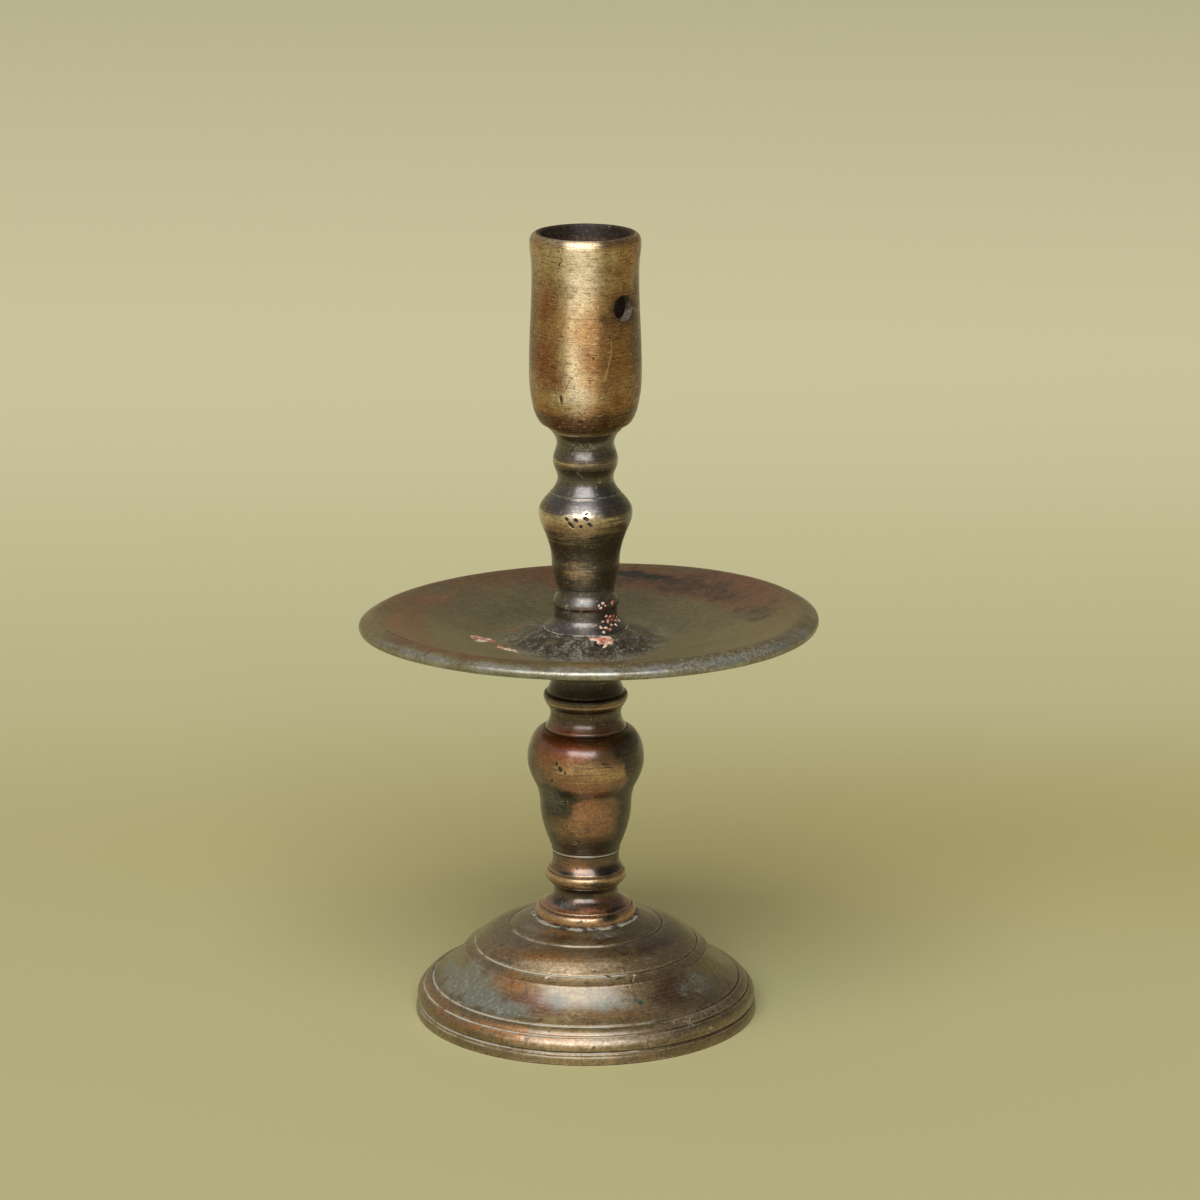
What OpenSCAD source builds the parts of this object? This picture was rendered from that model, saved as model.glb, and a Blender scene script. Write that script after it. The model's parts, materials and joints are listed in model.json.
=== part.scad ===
// Turned brass candlestick with a drip pan, taken apart into its seven pieces.
// Lengths are in millimetres. +Z is up, and the origin is on the table, under the middle of the foot.
// The foot carries the lower stem, whose tenon is drawn tight by a nut under the foot.
// The upper stem's long tenon passes through the drip pan and clamps it on the lower stem.
// The candle socket sits on the short tenon at the top.

/* [Foot] */
// Diameter of the foot on the table
foot_d = 88; // [78:0.5:110]
// Height of the foot, from the table to the seat of the stem
foot_h = 25.2; // [22:0.1:36]
// Thickness of the cast wall
foot_wall = 3; // [2:0.1:4]
// Width of the flat ring that the foot stands on
foot_ring_w = 4; // [2:0.1:8]
// Diameter of the flat seat on top of the foot
foot_seat_d = 27; // [24:0.1:34]
// Depth of the lines scribed round the foot
scribe_depth = 0.35; // [0.15:0.05:0.6]

/* [Lower stem] */
// Height of the lower stem, from the foot to the drip pan
lower_stem_h = 69.8; // [50:0.1:100]
// Diameter of the roll that stands on the foot
lower_roll_d = 25.7; // [22:0.1:32]
// Diameter of the belly of the vase
lower_belly_d = 29.86; // [25:0.02:38]
// Diameter of the vase below its belly
lower_vase_d = 23.4; // [20:0.1:28]
// Diameter of the two beads
lower_bead_d = 21.2; // [19:0.1:26]
// Diameter of the necks
lower_neck_d = 17; // [15:0.1:19]
// Diameter of the seat for the drip pan
lower_seat_d = 22; // [18:0.1:28]

/* [Drip pan] */
// Diameter of the drip pan over its lip
pan_d = 116.6; // [90:0.2:150]
// Height of the crest of the rim above the floor of the pan
pan_rise = 7.6; // [4:0.1:12]
// Thickness of the floor
pan_wall = 2.4; // [1.6:0.1:3]
// Width of the rim, from its crest to its edge
pan_rim_w = 4.5; // [3.5:0.1:8]
// How far the rim falls from its crest to its edge
pan_rim_fall = 1.45; // [0.5:0.05:2.5]
// Thickness of the rounded edge of the rim
pan_lip_t = 2.4; // [2:0.1:3.4]
// Diameter of the raised middle, where it meets the floor
hub_d = 39.6; // [30:0.1:50]
// Thickness of the raised middle, between the two stems
hub_h = 7; // [6:0.1:12]
// Height of the raised middle above the floor of the pan
hub_rise = 3.6; // [1:0.1:4.5]

/* [Upper stem] */
// Height of the upper stem, from the drip pan to the candle socket
upper_stem_h = 51.2; // [36:0.1:80]
// Diameter of the flange that stands on the drip pan
upper_flange_d = 21.2; // [18:0.1:28]
// Diameter of the two beads
upper_bead_d = 16.6; // [15.6:0.1:20]
// Diameter of the necks
upper_neck_d = 14.4; // [12.4:0.1:15.4]
// Diameter of the knop
knop_d = 23.72; // [20:0.02:30]
// Diameter of the seat for the candle socket
upper_seat_d = 17.4; // [15:0.1:22]

/* [Candle socket] */
// Height of the candle socket
socket_h = 50; // [42:0.1:70]
// Diameter of the belly of the socket
socket_belly_d = 28.34; // [27:0.02:34]
// Diameter of the waist below the lip
socket_waist_d = 26.74; // [25.5:0.02:30]
// Diameter of the lip
socket_lip_d = 27.78; // [26.5:0.02:34]
// Diameter of the candle that it takes
candle_d = 22; // [19:0.1:22.4]
// Clearance all round the candle
candle_gap = 0.25; // [0.1:0.05:0.4]
// Thickness of the bottom under the bore for the candle
socket_floor_t = 10.5; // [9.6:0.1:16]
// Diameter of the hole for pushing out a candle end
eject_d = 6.5; // [3:0.1:9]
// Depth of the middle of that hole below the top of the lip
eject_drop = 17.2; // [12:0.1:20]

/* [Joints] */
// Diameter of the tenon through the foot
foot_tenon_d = 8; // [6:0.1:10]
// Length of that tenon that stands out of the nut
foot_tenon_end = 1; // [0.4:0.1:4]
// Diameter of the tenon through the drip pan
pan_tenon_d = 7; // [5:0.1:8]
// Length of that tenon inside the lower stem
pan_tenon_l = 13; // [8:0.1:20]
// Diameter of the tenon under the candle socket
socket_tenon_d = 6.5; // [4:0.1:8]
// Length of that tenon
socket_tenon_l = 7; // [4:0.1:7.5]
// Clearance all round each tenon
tenon_gap = 0.1; // [0.05:0.05:0.2]
// Clearance at the blind end of each tenon
end_gap = 1; // [0.4:0.1:1.5]
// Diameter of the washer under the foot
washer_d = 18; // [14:0.1:24]
// Thickness of the washer
washer_t = 1.5; // [1:0.1:2]
// Width of the nut across its flats
nut_w = 13; // [12:0.1:16]
// Height of the nut
nut_h = 5.5; // [4:0.1:7]

/* [Hidden] */

// Colours of aged brass, from bright to nearly black
bright_brass = "#a98a4e";
olive_brass = "#7d6a3c";
dark_bronze = "#4a3d33";
red_bronze = "#6b4630";
pan_bronze = "#5f5640";
dull_steel = "#8b8a86";

// Number of flats on the nut
face_count = 6;
// Direction about the axis in which the push-out hole opens
eject_turn = -45;

// Height of each joint above the table
lower_stem_z = foot_h;
pan_z = lower_stem_z + lower_stem_h;
upper_stem_z = pan_z + hub_h;
socket_z = upper_stem_z + upper_stem_h;

// Cuts run past the surface by this much
overrun = 1;

// Number of steps in each curved stretch of an outline
turn_steps = 8;

// Place along one curved stretch, as shares of its width and of its height.
// "up" runs along the axis and "out" across it.
function stretch_share(way, t) =
    way == "leave_up" ? [1 - cos(90 * t), t]
    : way == "reach_up" ? [sin(90 * t), t]
    : way == "leave_out" ? [t, 1 - cos(90 * t)]
    : way == "reach_out" ? [t, sin(90 * t)]
    : way == "out_to_up" ? [sin(90 * t), 1 - cos(90 * t)]
    : way == "up_to_out" ? [1 - cos(90 * t), sin(90 * t)]
    : way == "wave" ? [(1 - cos(180 * t)) / 2, t]
    : [t, t];

// Points from place a, left out, to place b. A number for the way bows a straight stretch
// by that share of its length, to the right of the direction of travel.
function stretch(a, b, way) =
    let (
        run = [b.x - a.x, b.y - a.y],
        bow = is_num(way) ? way : 0,
        count = way == "line" ? 1 : turn_steps
    )
    [
        for (i = [1:count])
            let (
                t = i / count,
                part_share = stretch_share(way, t),
                lift = bow * sin(180 * t)
            )
            [a.x + run.x * part_share.x + run.y * lift, a.y + run.y * part_share.y - run.x * lift]
    ];

// Whole outline from a list of places, each [radius, height, way of reaching it].
function turned(places) = [
    for (i = [0:len(places) - 1])
        each i == 0
            ? [[places[0].x, places[0].y]]
            : stretch(places[i - 1], places[i], places[i].z)
];

// Foot: a hollow casting, a dome on a hollow skirt, with a roll at its edge
foot_r = foot_d / 2;
foot_seat_r = foot_seat_d / 2;
foot_flare = foot_r - foot_seat_r;

// Place on the skin of the foot, by its share of the way out from the seat and of the height
function on_foot(out_share, up_share) = [foot_seat_r + foot_flare * out_share, foot_h * up_share];

crown_line = on_foot(0.2, 0.905);
dome_line = on_foot(0.498, 0.718);
skirt_top = on_foot(0.582, 0.647);
skirt_line = on_foot(0.856, 0.345);
roll_line = on_foot(0.936, 0.272);
edge_line = on_foot(0.984, 0.123);
lower_edge_line = on_foot(0.997, 0.087);
scribe_lines = [crown_line, dome_line, skirt_line, roll_line, edge_line, lower_edge_line];

foot_places = [
    [0, foot_h, "line"],
    [foot_seat_r, foot_h, "line"],
    [crown_line.x, crown_line.y, -0.02],
    [dome_line.x, dome_line.y, -0.075],
    [skirt_top.x, skirt_top.y, 0.05],
    [skirt_line.x, skirt_line.y, 0.068],
    [roll_line.x, roll_line.y, -0.1],
    [edge_line.x, edge_line.y, -0.17],
    [foot_r, 0, -0.03],
    [0, 0, "line"]
];

// The hollow follows the skin at the thickness of the wall
foot_hollow_z = foot_h - foot_wall;
foot_hollow_places = [
    [0, -overrun, "line"],
    [foot_r - foot_ring_w, -overrun, "line"],
    [foot_r - foot_ring_w, 0, "line"],
    [skirt_line.x - foot_wall * 0.8, skirt_line.y - foot_wall * 0.6, 0.08],
    [skirt_top.x - foot_wall * 0.7, skirt_top.y - foot_wall * 0.7, -0.06],
    [crown_line.x - foot_wall * 0.3, crown_line.y - foot_wall, 0.06],
    [foot_seat_r - foot_wall * 0.3, foot_hollow_z, "line"],
    [0, foot_hollow_z, "line"]
];

// Lower stem: roll, bell, bead, neck, tall vase, neck, bead and seat
lower_roll_r = lower_roll_d / 2;
lower_belly_r = lower_belly_d / 2;
lower_vase_r = lower_vase_d / 2;
lower_bead_r = lower_bead_d / 2;
lower_neck_r = lower_neck_d / 2;
lower_seat_r = lower_seat_d / 2;

function lower_z(up_share) = lower_stem_h * up_share;

lower_stem_places = [
    [0, 0, "line"],
    // Roll on the foot
    [lower_roll_r * 0.965, 0, "line"],
    [lower_roll_r, lower_z(0.019), "out_to_up"],
    [lower_roll_r * 0.93, lower_z(0.041), "up_to_out"],
    // Groove and thin ring
    [lower_roll_r * 0.895, lower_z(0.043), "line"],
    [lower_roll_r * 0.905, lower_z(0.0465), "out_to_up"],
    [lower_roll_r * 0.87, lower_z(0.051), "up_to_out"],
    // Bell
    [lower_neck_r * 0.955, lower_z(0.102), "reach_up"],
    [lower_neck_r * 0.955, lower_z(0.107), "line"],
    [lower_neck_r * 1.03, lower_z(0.127), "leave_up"],
    // Thin ring and lower bead
    [lower_neck_r * 1.07, lower_z(0.129), "line"],
    [lower_neck_r * 1.07, lower_z(0.134), "line"],
    [lower_neck_r * 1.04, lower_z(0.136), "line"],
    [lower_bead_r * 0.985, lower_z(0.159), "out_to_up"],
    [lower_bead_r * 0.93, lower_z(0.178), "up_to_out"],
    [lower_bead_r * 0.9, lower_z(0.18), "line"],
    [lower_bead_r * 0.915, lower_z(0.184), "line"],
    [lower_bead_r * 0.91, lower_z(0.187), "line"],
    // Neck and thin ring under the vase
    [lower_neck_r, lower_z(0.224), "reach_up"],
    [lower_neck_r * 1.008, lower_z(0.253), "line"],
    [lower_neck_r * 1.035, lower_z(0.2545), "line"],
    [lower_neck_r * 1.035, lower_z(0.2595), "line"],
    [lower_neck_r * 1.01, lower_z(0.262), "line"],
    // Vase
    [lower_vase_r, lower_z(0.433), "reach_up"],
    [lower_vase_r * 1.06, lower_z(0.497), "leave_up"],
    [lower_belly_r, lower_z(0.606), "reach_up"],
    [lower_belly_r * 0.7, lower_z(0.721), "up_to_out"],
    // Thin ring and upper neck
    [lower_neck_r * 1.21, lower_z(0.723), "line"],
    [lower_neck_r * 1.21, lower_z(0.728), "line"],
    [lower_neck_r * 1.06, lower_z(0.779), "reach_up"],
    [lower_neck_r * 1.12, lower_z(0.805), "leave_up"],
    // Upper bead with its groove
    [lower_bead_r * 1.015, lower_z(0.843), "reach_up"],
    [lower_bead_r * 0.97, lower_z(0.856), "up_to_out"],
    [lower_bead_r * 0.93, lower_z(0.859), "line"],
    [lower_bead_r * 0.93, lower_z(0.862), "line"],
    // Neck that flares to the seat
    [lower_neck_r * 1.01, lower_z(0.925), "reach_up"],
    [lower_seat_r, lower_stem_h, "leave_up"],
    [0, lower_stem_h, "line"]
];

// Upper stem: flange, bead, neck, knop, neck, bead and seat
upper_flange_r = upper_flange_d / 2;
upper_bead_r = upper_bead_d / 2;
upper_neck_r = upper_neck_d / 2;
knop_r = knop_d / 2;
upper_seat_r = upper_seat_d / 2;

function upper_z(up_share) = upper_stem_h * up_share;

upper_stem_places = [
    [0, 0, "line"],
    // Flange on the drip pan
    [upper_flange_r * 0.985, 0, "line"],
    [upper_flange_r, upper_z(0.008), "line"],
    [upper_bead_r * 0.955, upper_z(0.067), "reach_up"],
    // Lower bead with its sharp lower edge
    [upper_bead_r * 0.95, upper_z(0.112), "line"],
    [upper_bead_r * 1.015, upper_z(0.124), "line"],
    [upper_neck_r * 1.015, upper_z(0.197), "wave"],
    [upper_neck_r * 1.005, upper_z(0.214), "line"],
    // Long taper below the knop
    [upper_neck_r * 1.03, upper_z(0.217), "line"],
    [upper_bead_r * 1.036, upper_z(0.34), "reach_up"],
    [knop_r * 0.885, upper_z(0.496), "leave_up"],
    // Knop
    [knop_r, upper_z(0.59), "reach_up"],
    [knop_r * 0.755, upper_z(0.683), "leave_up"],
    // Thin ring and upper neck
    [knop_r * 0.75, upper_z(0.689), "line"],
    [upper_bead_r * 1.036, upper_z(0.692), "line"],
    [upper_neck_r * 0.982, upper_z(0.762), "reach_up"],
    // Upper bead with its sharp lower edge
    [upper_bead_r * 0.99, upper_z(0.848), "wave"],
    [upper_bead_r * 0.99, upper_z(0.852), "line"],
    [upper_neck_r * 1.011, upper_z(0.9375), "wave"],
    // Flare to the seat
    [upper_seat_r, upper_stem_h, "leave_up"],
    [0, upper_stem_h, "line"]
];

// Drip pan: a shallow dish with a raised middle, and a rim that falls from its crest to a round edge
pan_r = pan_d / 2;
hub_r = hub_d / 2;
pan_floor_z = hub_h - hub_rise;
pan_under_z = pan_floor_z - pan_wall;
pan_crest_r = pan_r - pan_rim_w;
pan_crest_z = pan_floor_z + pan_rise;
pan_lip_r = pan_lip_t / 2;
pan_lip_x = pan_r - pan_lip_r;
pan_lip_z = pan_crest_z - pan_rim_fall - pan_lip_r;
// The floor curves up over this share of its width, then rises straight to the crest
pan_turn_share = 0.33;
pan_turn_r = hub_r + (pan_crest_r - hub_r) * pan_turn_share;
// Share of the rise that lies in the curve, so that it runs into the straight part
pan_curve_w = (pan_turn_r - hub_r) * 2 / PI;
pan_curve_share = pan_curve_w / (pan_curve_w + pan_crest_r - pan_turn_r);
pan_under_share = pan_curve_w / (pan_curve_w + pan_lip_x - pan_turn_r);
pan_under_slope = atan((pan_lip_z - pan_lip_r - pan_under_z) / (pan_curve_w + pan_lip_x - pan_turn_r));
pan_lip_dx = pan_lip_r * sin(pan_under_slope);
pan_lip_dz = pan_lip_r * cos(pan_under_slope);
// The rim leaves its crest level and meets the round edge at this slope
pan_rim_slope = atan(PI / 2 * pan_rim_fall / (pan_lip_x - pan_crest_r));
pan_lip_turn = 180 - pan_under_slope - pan_rim_slope;

pan_places = [
    [0, 0, "line"],
    // Seat on the lower stem, then the underside
    [hub_r * 0.7, 0, "line"],
    [hub_r, pan_under_z, "line"],
    [
        pan_turn_r,
        pan_under_z + (pan_lip_z - pan_lip_dz - pan_under_z) * pan_under_share,
        "leave_out"
    ],
    [pan_lip_x + pan_lip_dx, pan_lip_z - pan_lip_dz, "line"]
];
// Round edge, from its underside to the slope of the rim
pan_lip_points = [
    for (i = [1:2 * turn_steps])
        let (angle = pan_under_slope - 90 + pan_lip_turn * i / (2 * turn_steps))
        [pan_lip_x + pan_lip_r * cos(angle), pan_lip_z + pan_lip_r * sin(angle)]
];
pan_lip_end = pan_lip_points[2 * turn_steps - 1];
pan_rim_points = stretch(pan_lip_end, [pan_crest_r, pan_crest_z], "reach_out");
pan_inside_places = [
    [
        pan_turn_r,
        pan_floor_z + (pan_crest_z - pan_floor_z) * pan_curve_share,
        "line"
    ],
    [hub_r, pan_floor_z, "reach_out"],
    // Raised middle under the flange of the upper stem
    [upper_flange_r, hub_h, "leave_out"],
    [0, hub_h, "line"]
];

// Candle socket: a cup with a rounded bottom, a slight waist and a rolled lip
socket_belly_r = socket_belly_d / 2;
socket_waist_r = socket_waist_d / 2;
socket_lip_r = socket_lip_d / 2;
bore_r = candle_d / 2 + candle_gap;
socket_wall_top = socket_lip_r - bore_r;

function socket_z_at(up_share) = socket_h * up_share;

socket_places = [
    [0, 0, "line"],
    [upper_seat_r, 0, "line"],
    [upper_seat_r * 1.16, socket_z_at(0.029), "line"],
    [socket_belly_r, socket_z_at(0.296), "out_to_up"],
    [socket_waist_r, socket_z_at(0.81), "wave"],
    [socket_lip_r, socket_z_at(0.954), "wave"],
    [bore_r + socket_wall_top * 0.4, socket_h, "up_to_out"],
    [bore_r + socket_wall_top * 0.13, socket_h, "line"],
    [bore_r, socket_h - socket_wall_top * 0.13, "line"],
    [0, socket_h - socket_wall_top * 0.13, "line"]
];

// Revolves an outline round the axis
module turn(points) {
    rotate_extrude($fn = 96)
        polygon(points);
}

// Upright hole for a tenon, from height z up
module tenon_hole(diameter, z, length) {
    translate([0, 0, z])
        cylinder(d = diameter + 2 * tenon_gap, h = length, $fn = 48);
}

module foot() {
    color(olive_brass)
        difference() {
            turn(turned(foot_places));
            turn(turned(foot_hollow_places));
            tenon_hole(foot_tenon_d, foot_hollow_z - overrun, foot_wall + 2 * overrun);
            // Lines scribed round the foot
            for (line = scribe_lines)
                rotate_extrude($fn = 96)
                    translate([line.x, line.y])
                        rotate(45)
                            square(scribe_depth * sqrt(2), center = true);
        }
}

module foot_washer() {
    color(dull_steel)
        translate([0, 0, foot_hollow_z - washer_t])
            difference() {
                cylinder(d = washer_d, h = washer_t, $fn = 64);
                tenon_hole(foot_tenon_d, -overrun, washer_t + 2 * overrun);
            }
}

module foot_nut() {
    color(dull_steel)
        translate([0, 0, foot_hollow_z - washer_t - nut_h])
            difference() {
                cylinder(d = nut_w / cos(180 / face_count), h = nut_h, $fn = face_count);
                tenon_hole(foot_tenon_d, -overrun, nut_h + 2 * overrun);
            }
}

module lower_stem() {
    // The tenon passes the wall, the washer and the nut
    foot_tenon_l = foot_wall + washer_t + nut_h + foot_tenon_end;
    color(red_bronze)
        translate([0, 0, lower_stem_z])
            difference() {
                union() {
                    turn(turned(lower_stem_places));
                    translate([0, 0, -foot_tenon_l])
                        cylinder(d = foot_tenon_d, h = foot_tenon_l + overrun, $fn = 48);
                }
                tenon_hole(
                    pan_tenon_d,
                    lower_stem_h - pan_tenon_l - end_gap,
                    pan_tenon_l + end_gap + overrun
                );
            }
}

module drip_pan() {
    color(pan_bronze)
        translate([0, 0, pan_z])
            difference() {
                turn(
                    concat(turned(pan_places), pan_lip_points, pan_rim_points, turned(pan_inside_places))
                );
                tenon_hole(pan_tenon_d, -overrun, hub_h + 2 * overrun);
            }
}

module upper_stem() {
    color(dark_bronze)
        translate([0, 0, upper_stem_z]) {
            turn(turned(upper_stem_places));
            translate([0, 0, -hub_h - pan_tenon_l])
                cylinder(d = pan_tenon_d, h = hub_h + pan_tenon_l + overrun, $fn = 48);
            translate([0, 0, upper_stem_h - overrun])
                cylinder(d = socket_tenon_d, h = socket_tenon_l + overrun, $fn = 48);
        }
}

module candle_socket() {
    color(bright_brass)
        translate([0, 0, socket_z])
            difference() {
                turn(turned(socket_places));
                translate([0, 0, socket_floor_t])
                    cylinder(r = bore_r, h = socket_h - socket_floor_t + overrun, $fn = 96);
                tenon_hole(socket_tenon_d, -overrun, socket_tenon_l + end_gap + overrun);
                // Hole for pushing out a candle end
                translate([0, 0, socket_h - eject_drop])
                    rotate([0, 90, eject_turn])
                        cylinder(d = eject_d, h = socket_belly_d, $fn = 48);
            }
}

foot();
foot_washer();
foot_nut();
lower_stem();
drip_pan();
upper_stem();
candle_socket();
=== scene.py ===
import json
import math
from functools import partialmethod, reduce

import bmesh
import bpy
import numpy as np
from bpy.props import FloatProperty, FloatVectorProperty, PointerProperty
from mathutils import Euler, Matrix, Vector, kdtree
from mathutils.bvhtree import BVHTree


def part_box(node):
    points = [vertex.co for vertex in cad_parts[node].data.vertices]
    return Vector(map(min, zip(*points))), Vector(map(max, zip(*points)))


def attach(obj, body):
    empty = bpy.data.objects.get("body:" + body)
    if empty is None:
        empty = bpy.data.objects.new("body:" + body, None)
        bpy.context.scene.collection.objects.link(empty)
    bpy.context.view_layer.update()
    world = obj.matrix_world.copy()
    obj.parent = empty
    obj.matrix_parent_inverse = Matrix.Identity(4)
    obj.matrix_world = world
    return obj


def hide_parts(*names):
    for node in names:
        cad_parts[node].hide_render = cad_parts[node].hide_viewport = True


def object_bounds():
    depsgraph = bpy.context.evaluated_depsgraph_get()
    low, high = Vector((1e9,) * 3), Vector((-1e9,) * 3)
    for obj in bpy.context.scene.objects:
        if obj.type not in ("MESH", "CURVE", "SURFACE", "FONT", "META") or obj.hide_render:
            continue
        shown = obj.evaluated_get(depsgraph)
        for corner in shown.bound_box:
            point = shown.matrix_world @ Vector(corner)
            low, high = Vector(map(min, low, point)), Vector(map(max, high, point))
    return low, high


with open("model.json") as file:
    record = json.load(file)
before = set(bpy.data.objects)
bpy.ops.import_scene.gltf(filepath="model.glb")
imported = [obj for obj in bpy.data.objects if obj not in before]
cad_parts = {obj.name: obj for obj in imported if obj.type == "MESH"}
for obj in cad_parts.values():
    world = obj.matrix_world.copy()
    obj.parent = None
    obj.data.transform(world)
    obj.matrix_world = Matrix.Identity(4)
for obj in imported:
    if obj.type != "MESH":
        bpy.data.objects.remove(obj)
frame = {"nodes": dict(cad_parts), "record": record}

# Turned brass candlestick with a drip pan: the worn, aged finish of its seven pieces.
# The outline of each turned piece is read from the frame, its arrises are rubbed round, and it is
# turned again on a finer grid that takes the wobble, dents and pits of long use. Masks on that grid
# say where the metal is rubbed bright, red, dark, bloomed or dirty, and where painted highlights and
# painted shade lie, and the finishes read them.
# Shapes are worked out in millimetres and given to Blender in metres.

bl_info = {
    "name": "Turned Brass Candlestick",
    "version": (1, 0, 0),
    "blender": (4, 5, 0),
    "location": "3D View > Sidebar > Candlestick",
    "description": "Aged pieces of a turned brass candlestick, and a plain studio round them",
    "category": "Add Mesh",
}

CAD_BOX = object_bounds()
BODY = "root"
MM = 0.001

# Places on a piece are given by their direction about the axis: -90 faces the camera and 0 is right
BACK = 90.0


def linear(red, green, blue):
    """Linear colour of an sRGB colour given from 0 to 255."""
    shares = [c / 255 for c in (red, green, blue)]
    return tuple(c / 12.92 if c <= 0.04045 else ((c + 0.055) / 1.055) ** 2.4 for c in shares)


def colour_of(name, description, red, green, blue):
    """Colour property with an sRGB default."""
    return FloatVectorProperty(
        name=name, description=description, subtype="COLOR", size=3, min=0.0, max=1.0,
        default=linear(red, green, blue),
    )


def length_of(name, description, millimetres):
    """Length property with a default in millimetres."""
    return FloatProperty(
        name=name, description=description, subtype="DISTANCE", unit="LENGTH", default=millimetres * MM,
    )


def angle_of(name, description, degrees):
    """Angle property with a default in degrees."""
    return FloatProperty(
        name=name, description=description, subtype="ANGLE", unit="ROTATION", default=math.radians(degrees),
    )


def share_of(name, description, share, top=1.0):
    """Property for a share, from 0 up."""
    return FloatProperty(name=name, description=description, default=share, min=0.0, max=top)


class CandlestickWear(bpy.types.PropertyGroup):
    """How far use has changed the shapes of the pieces."""

    rub: length_of("Rubbed arris", "Width over which each arris is rubbed round", 0.13)
    wobble: length_of("Wobble", "Unevenness of the turned surfaces", 0.06)
    dents: share_of("Dents", "Depth of the dents, as a share of their full depth", 1.0, 3.0)
    pan_front: angle_of("Pan front", "How far the front of the pan is bent up", 1.88)
    pan_right: angle_of("Pan right", "How far the right side of the pan is bent up", 0.8)
    pan_warp: length_of("Pan warp", "Height of the two-sided warp of the pan's lip", 0.53)
    pan_shift: length_of("Pan shift", "How far the pan's lip is pushed to the right", 0.8)


class CandlestickFinish(bpy.types.PropertyGroup):
    """Colours of the bare metals, and of what age has put on them."""

    brass: colour_of("Brass", "Rubbed pale brass", 234, 206, 162)
    # Pale brass is also laid down the front of the socket as a painted highlight
    pale_brass: colour_of("Pale brass", "Brass rubbed bright on the socket", 246, 226, 192)
    old_brass: colour_of("Old brass", "Brass that has browned", 214, 166, 112)
    brown_brass: colour_of("Brown brass", "Brass under a brown film", 178, 128, 78)
    # Pale gold is also laid at the front of the knop and of the foot, where it is partly a painted highlight
    pale_gold: colour_of("Pale gold", "Bronze rubbed on the stems", 224, 198, 164)
    gold: colour_of("Gold", "Rubbed bronze", 204, 164, 118)
    amber: colour_of("Amber", "Orange-brown stain on the foot", 180, 122, 60)
    olive: colour_of("Olive brass", "Brass of the foot under its film", 148, 126, 88)
    orange: colour_of("Orange", "Orange oxide", 186, 104, 56)
    copper: colour_of("Copper red", "Red metal on the lower stem", 188, 128, 92)
    red: colour_of("Red brown", "Red-brown oxide", 152, 72, 38)
    brown: colour_of("Brown", "Brown oxide", 120, 80, 50)
    black: colour_of("Black", "Black-brown oxide", 66, 58, 50)
    gunmetal: colour_of("Gunmetal", "Dark film of the upper stem", 86, 82, 80)
    pan: colour_of("Pan", "Green-brown film of the pan", 128, 112, 68)
    # The lip's grey, laid thickest at the front of the lip, is also a painted highlight
    lip: colour_of("Lip", "Rubbed metal of the pan's lip", 162, 160, 152)
    pan_red: colour_of("Pan red", "Red-brown film towards the rim of the pan", 128, 80, 42)
    bloom: colour_of("Bloom", "Grey-green film", 144, 148, 138)
    chalk: colour_of("Chalk", "Light dirt in grooves and joints", 186, 180, 164)
    # Soot also darkens the scribed lines at the right of the foot and the inside of the socket, as painted
    # shade
    soot_and_shade: colour_of("Soot", "Dark dirt in grooves and joints", 40, 35, 30)
    steel: colour_of("Steel", "Steel of the washer and the nut", 120, 118, 112)
    verdigris: colour_of("Verdigris", "Green copper salts", 62, 116, 96)
    wax: colour_of("Wax", "Pale old wax", 222, 194, 174)
    pink_wax: colour_of("Pink wax", "Pink old wax", 178, 100, 78)


class CandlestickStudio(bpy.types.PropertyGroup):
    """Camera, floor and light."""

    lens: FloatProperty(name="Lens", description="Focal length on a 36 mm sensor", default=135.0, min=10.0)
    pitch: angle_of("Pitch", "How far the camera looks down", 15.0)
    floor: colour_of("Floor", "Colour of the floor near the candlestick", 184, 177, 130)
    # Colour of a painted shadow of the candlestick on the floor, just behind it and mostly at the right
    shadow_floor: colour_of("Floor behind", "Colour of the floor just behind the candlestick", 172, 157, 98)
    far_floor: colour_of("Far floor", "Colour of the floor far behind the candlestick", 225, 217, 177)
    window: FloatProperty(name="Window", description="Power of the large soft lamp", default=455.0, min=0.0)
    window_width: length_of("Window width", "Width of the large soft lamp", 6000)
    window_height: length_of("Window height", "Height of the large soft lamp", 5600)
    window_distance: length_of("Window distance", "Distance of the large soft lamp", 6000)
    window_turn: angle_of("Window turn", "Direction of the large soft lamp about the axis", -98)
    window_rise: angle_of("Window rise", "Elevation of the large soft lamp", 46)
    sky: colour_of("Sky", "Colour of the light from above", 240, 238, 226)
    horizon: colour_of("Horizon", "Colour of the light from the sides", 238, 224, 170)
    horizon_left: share_of("Horizon left", "Strength of the level light from the left", 0.5)
    horizon_right: share_of("Horizon right", "Strength of the level light from the right", 0.3)
    left_level: share_of("Left level", "Strength of the light from above on the left", 0.42)
    right_level: share_of("Right level", "Strength of the light from above on the right", 0.14)


def wear():
    """The wear that is set for the scene."""
    return bpy.context.scene.candlestick_wear


def look():
    """The colours that are set for the scene."""
    return bpy.context.scene.candlestick_finish


def studio():
    """The camera, floor and light that are set for the scene."""
    return bpy.context.scene.candlestick_studio


# Noise on a seeded lattice

NOISE_CELLS = 32


def lattice_noise(places, cell, seed):
    """Smooth noise from -1 to 1 at places in mm, with features about one cell wide."""
    lattice = np.random.default_rng(seed).uniform(-1, 1, (NOISE_CELLS,) * 3)
    at = places / cell + 100.0
    base = np.floor(at).astype(int)
    part = at - base
    part = part * part * (3 - 2 * part)
    total = np.zeros(places.shape[:-1])
    for corner in np.ndindex(2, 2, 2):
        index = (base + corner) % NOISE_CELLS
        weight = np.prod(np.where(corner, part, 1 - part), axis=-1)
        total += weight * lattice[index[..., 0], index[..., 1], index[..., 2]]
    return total


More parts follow.
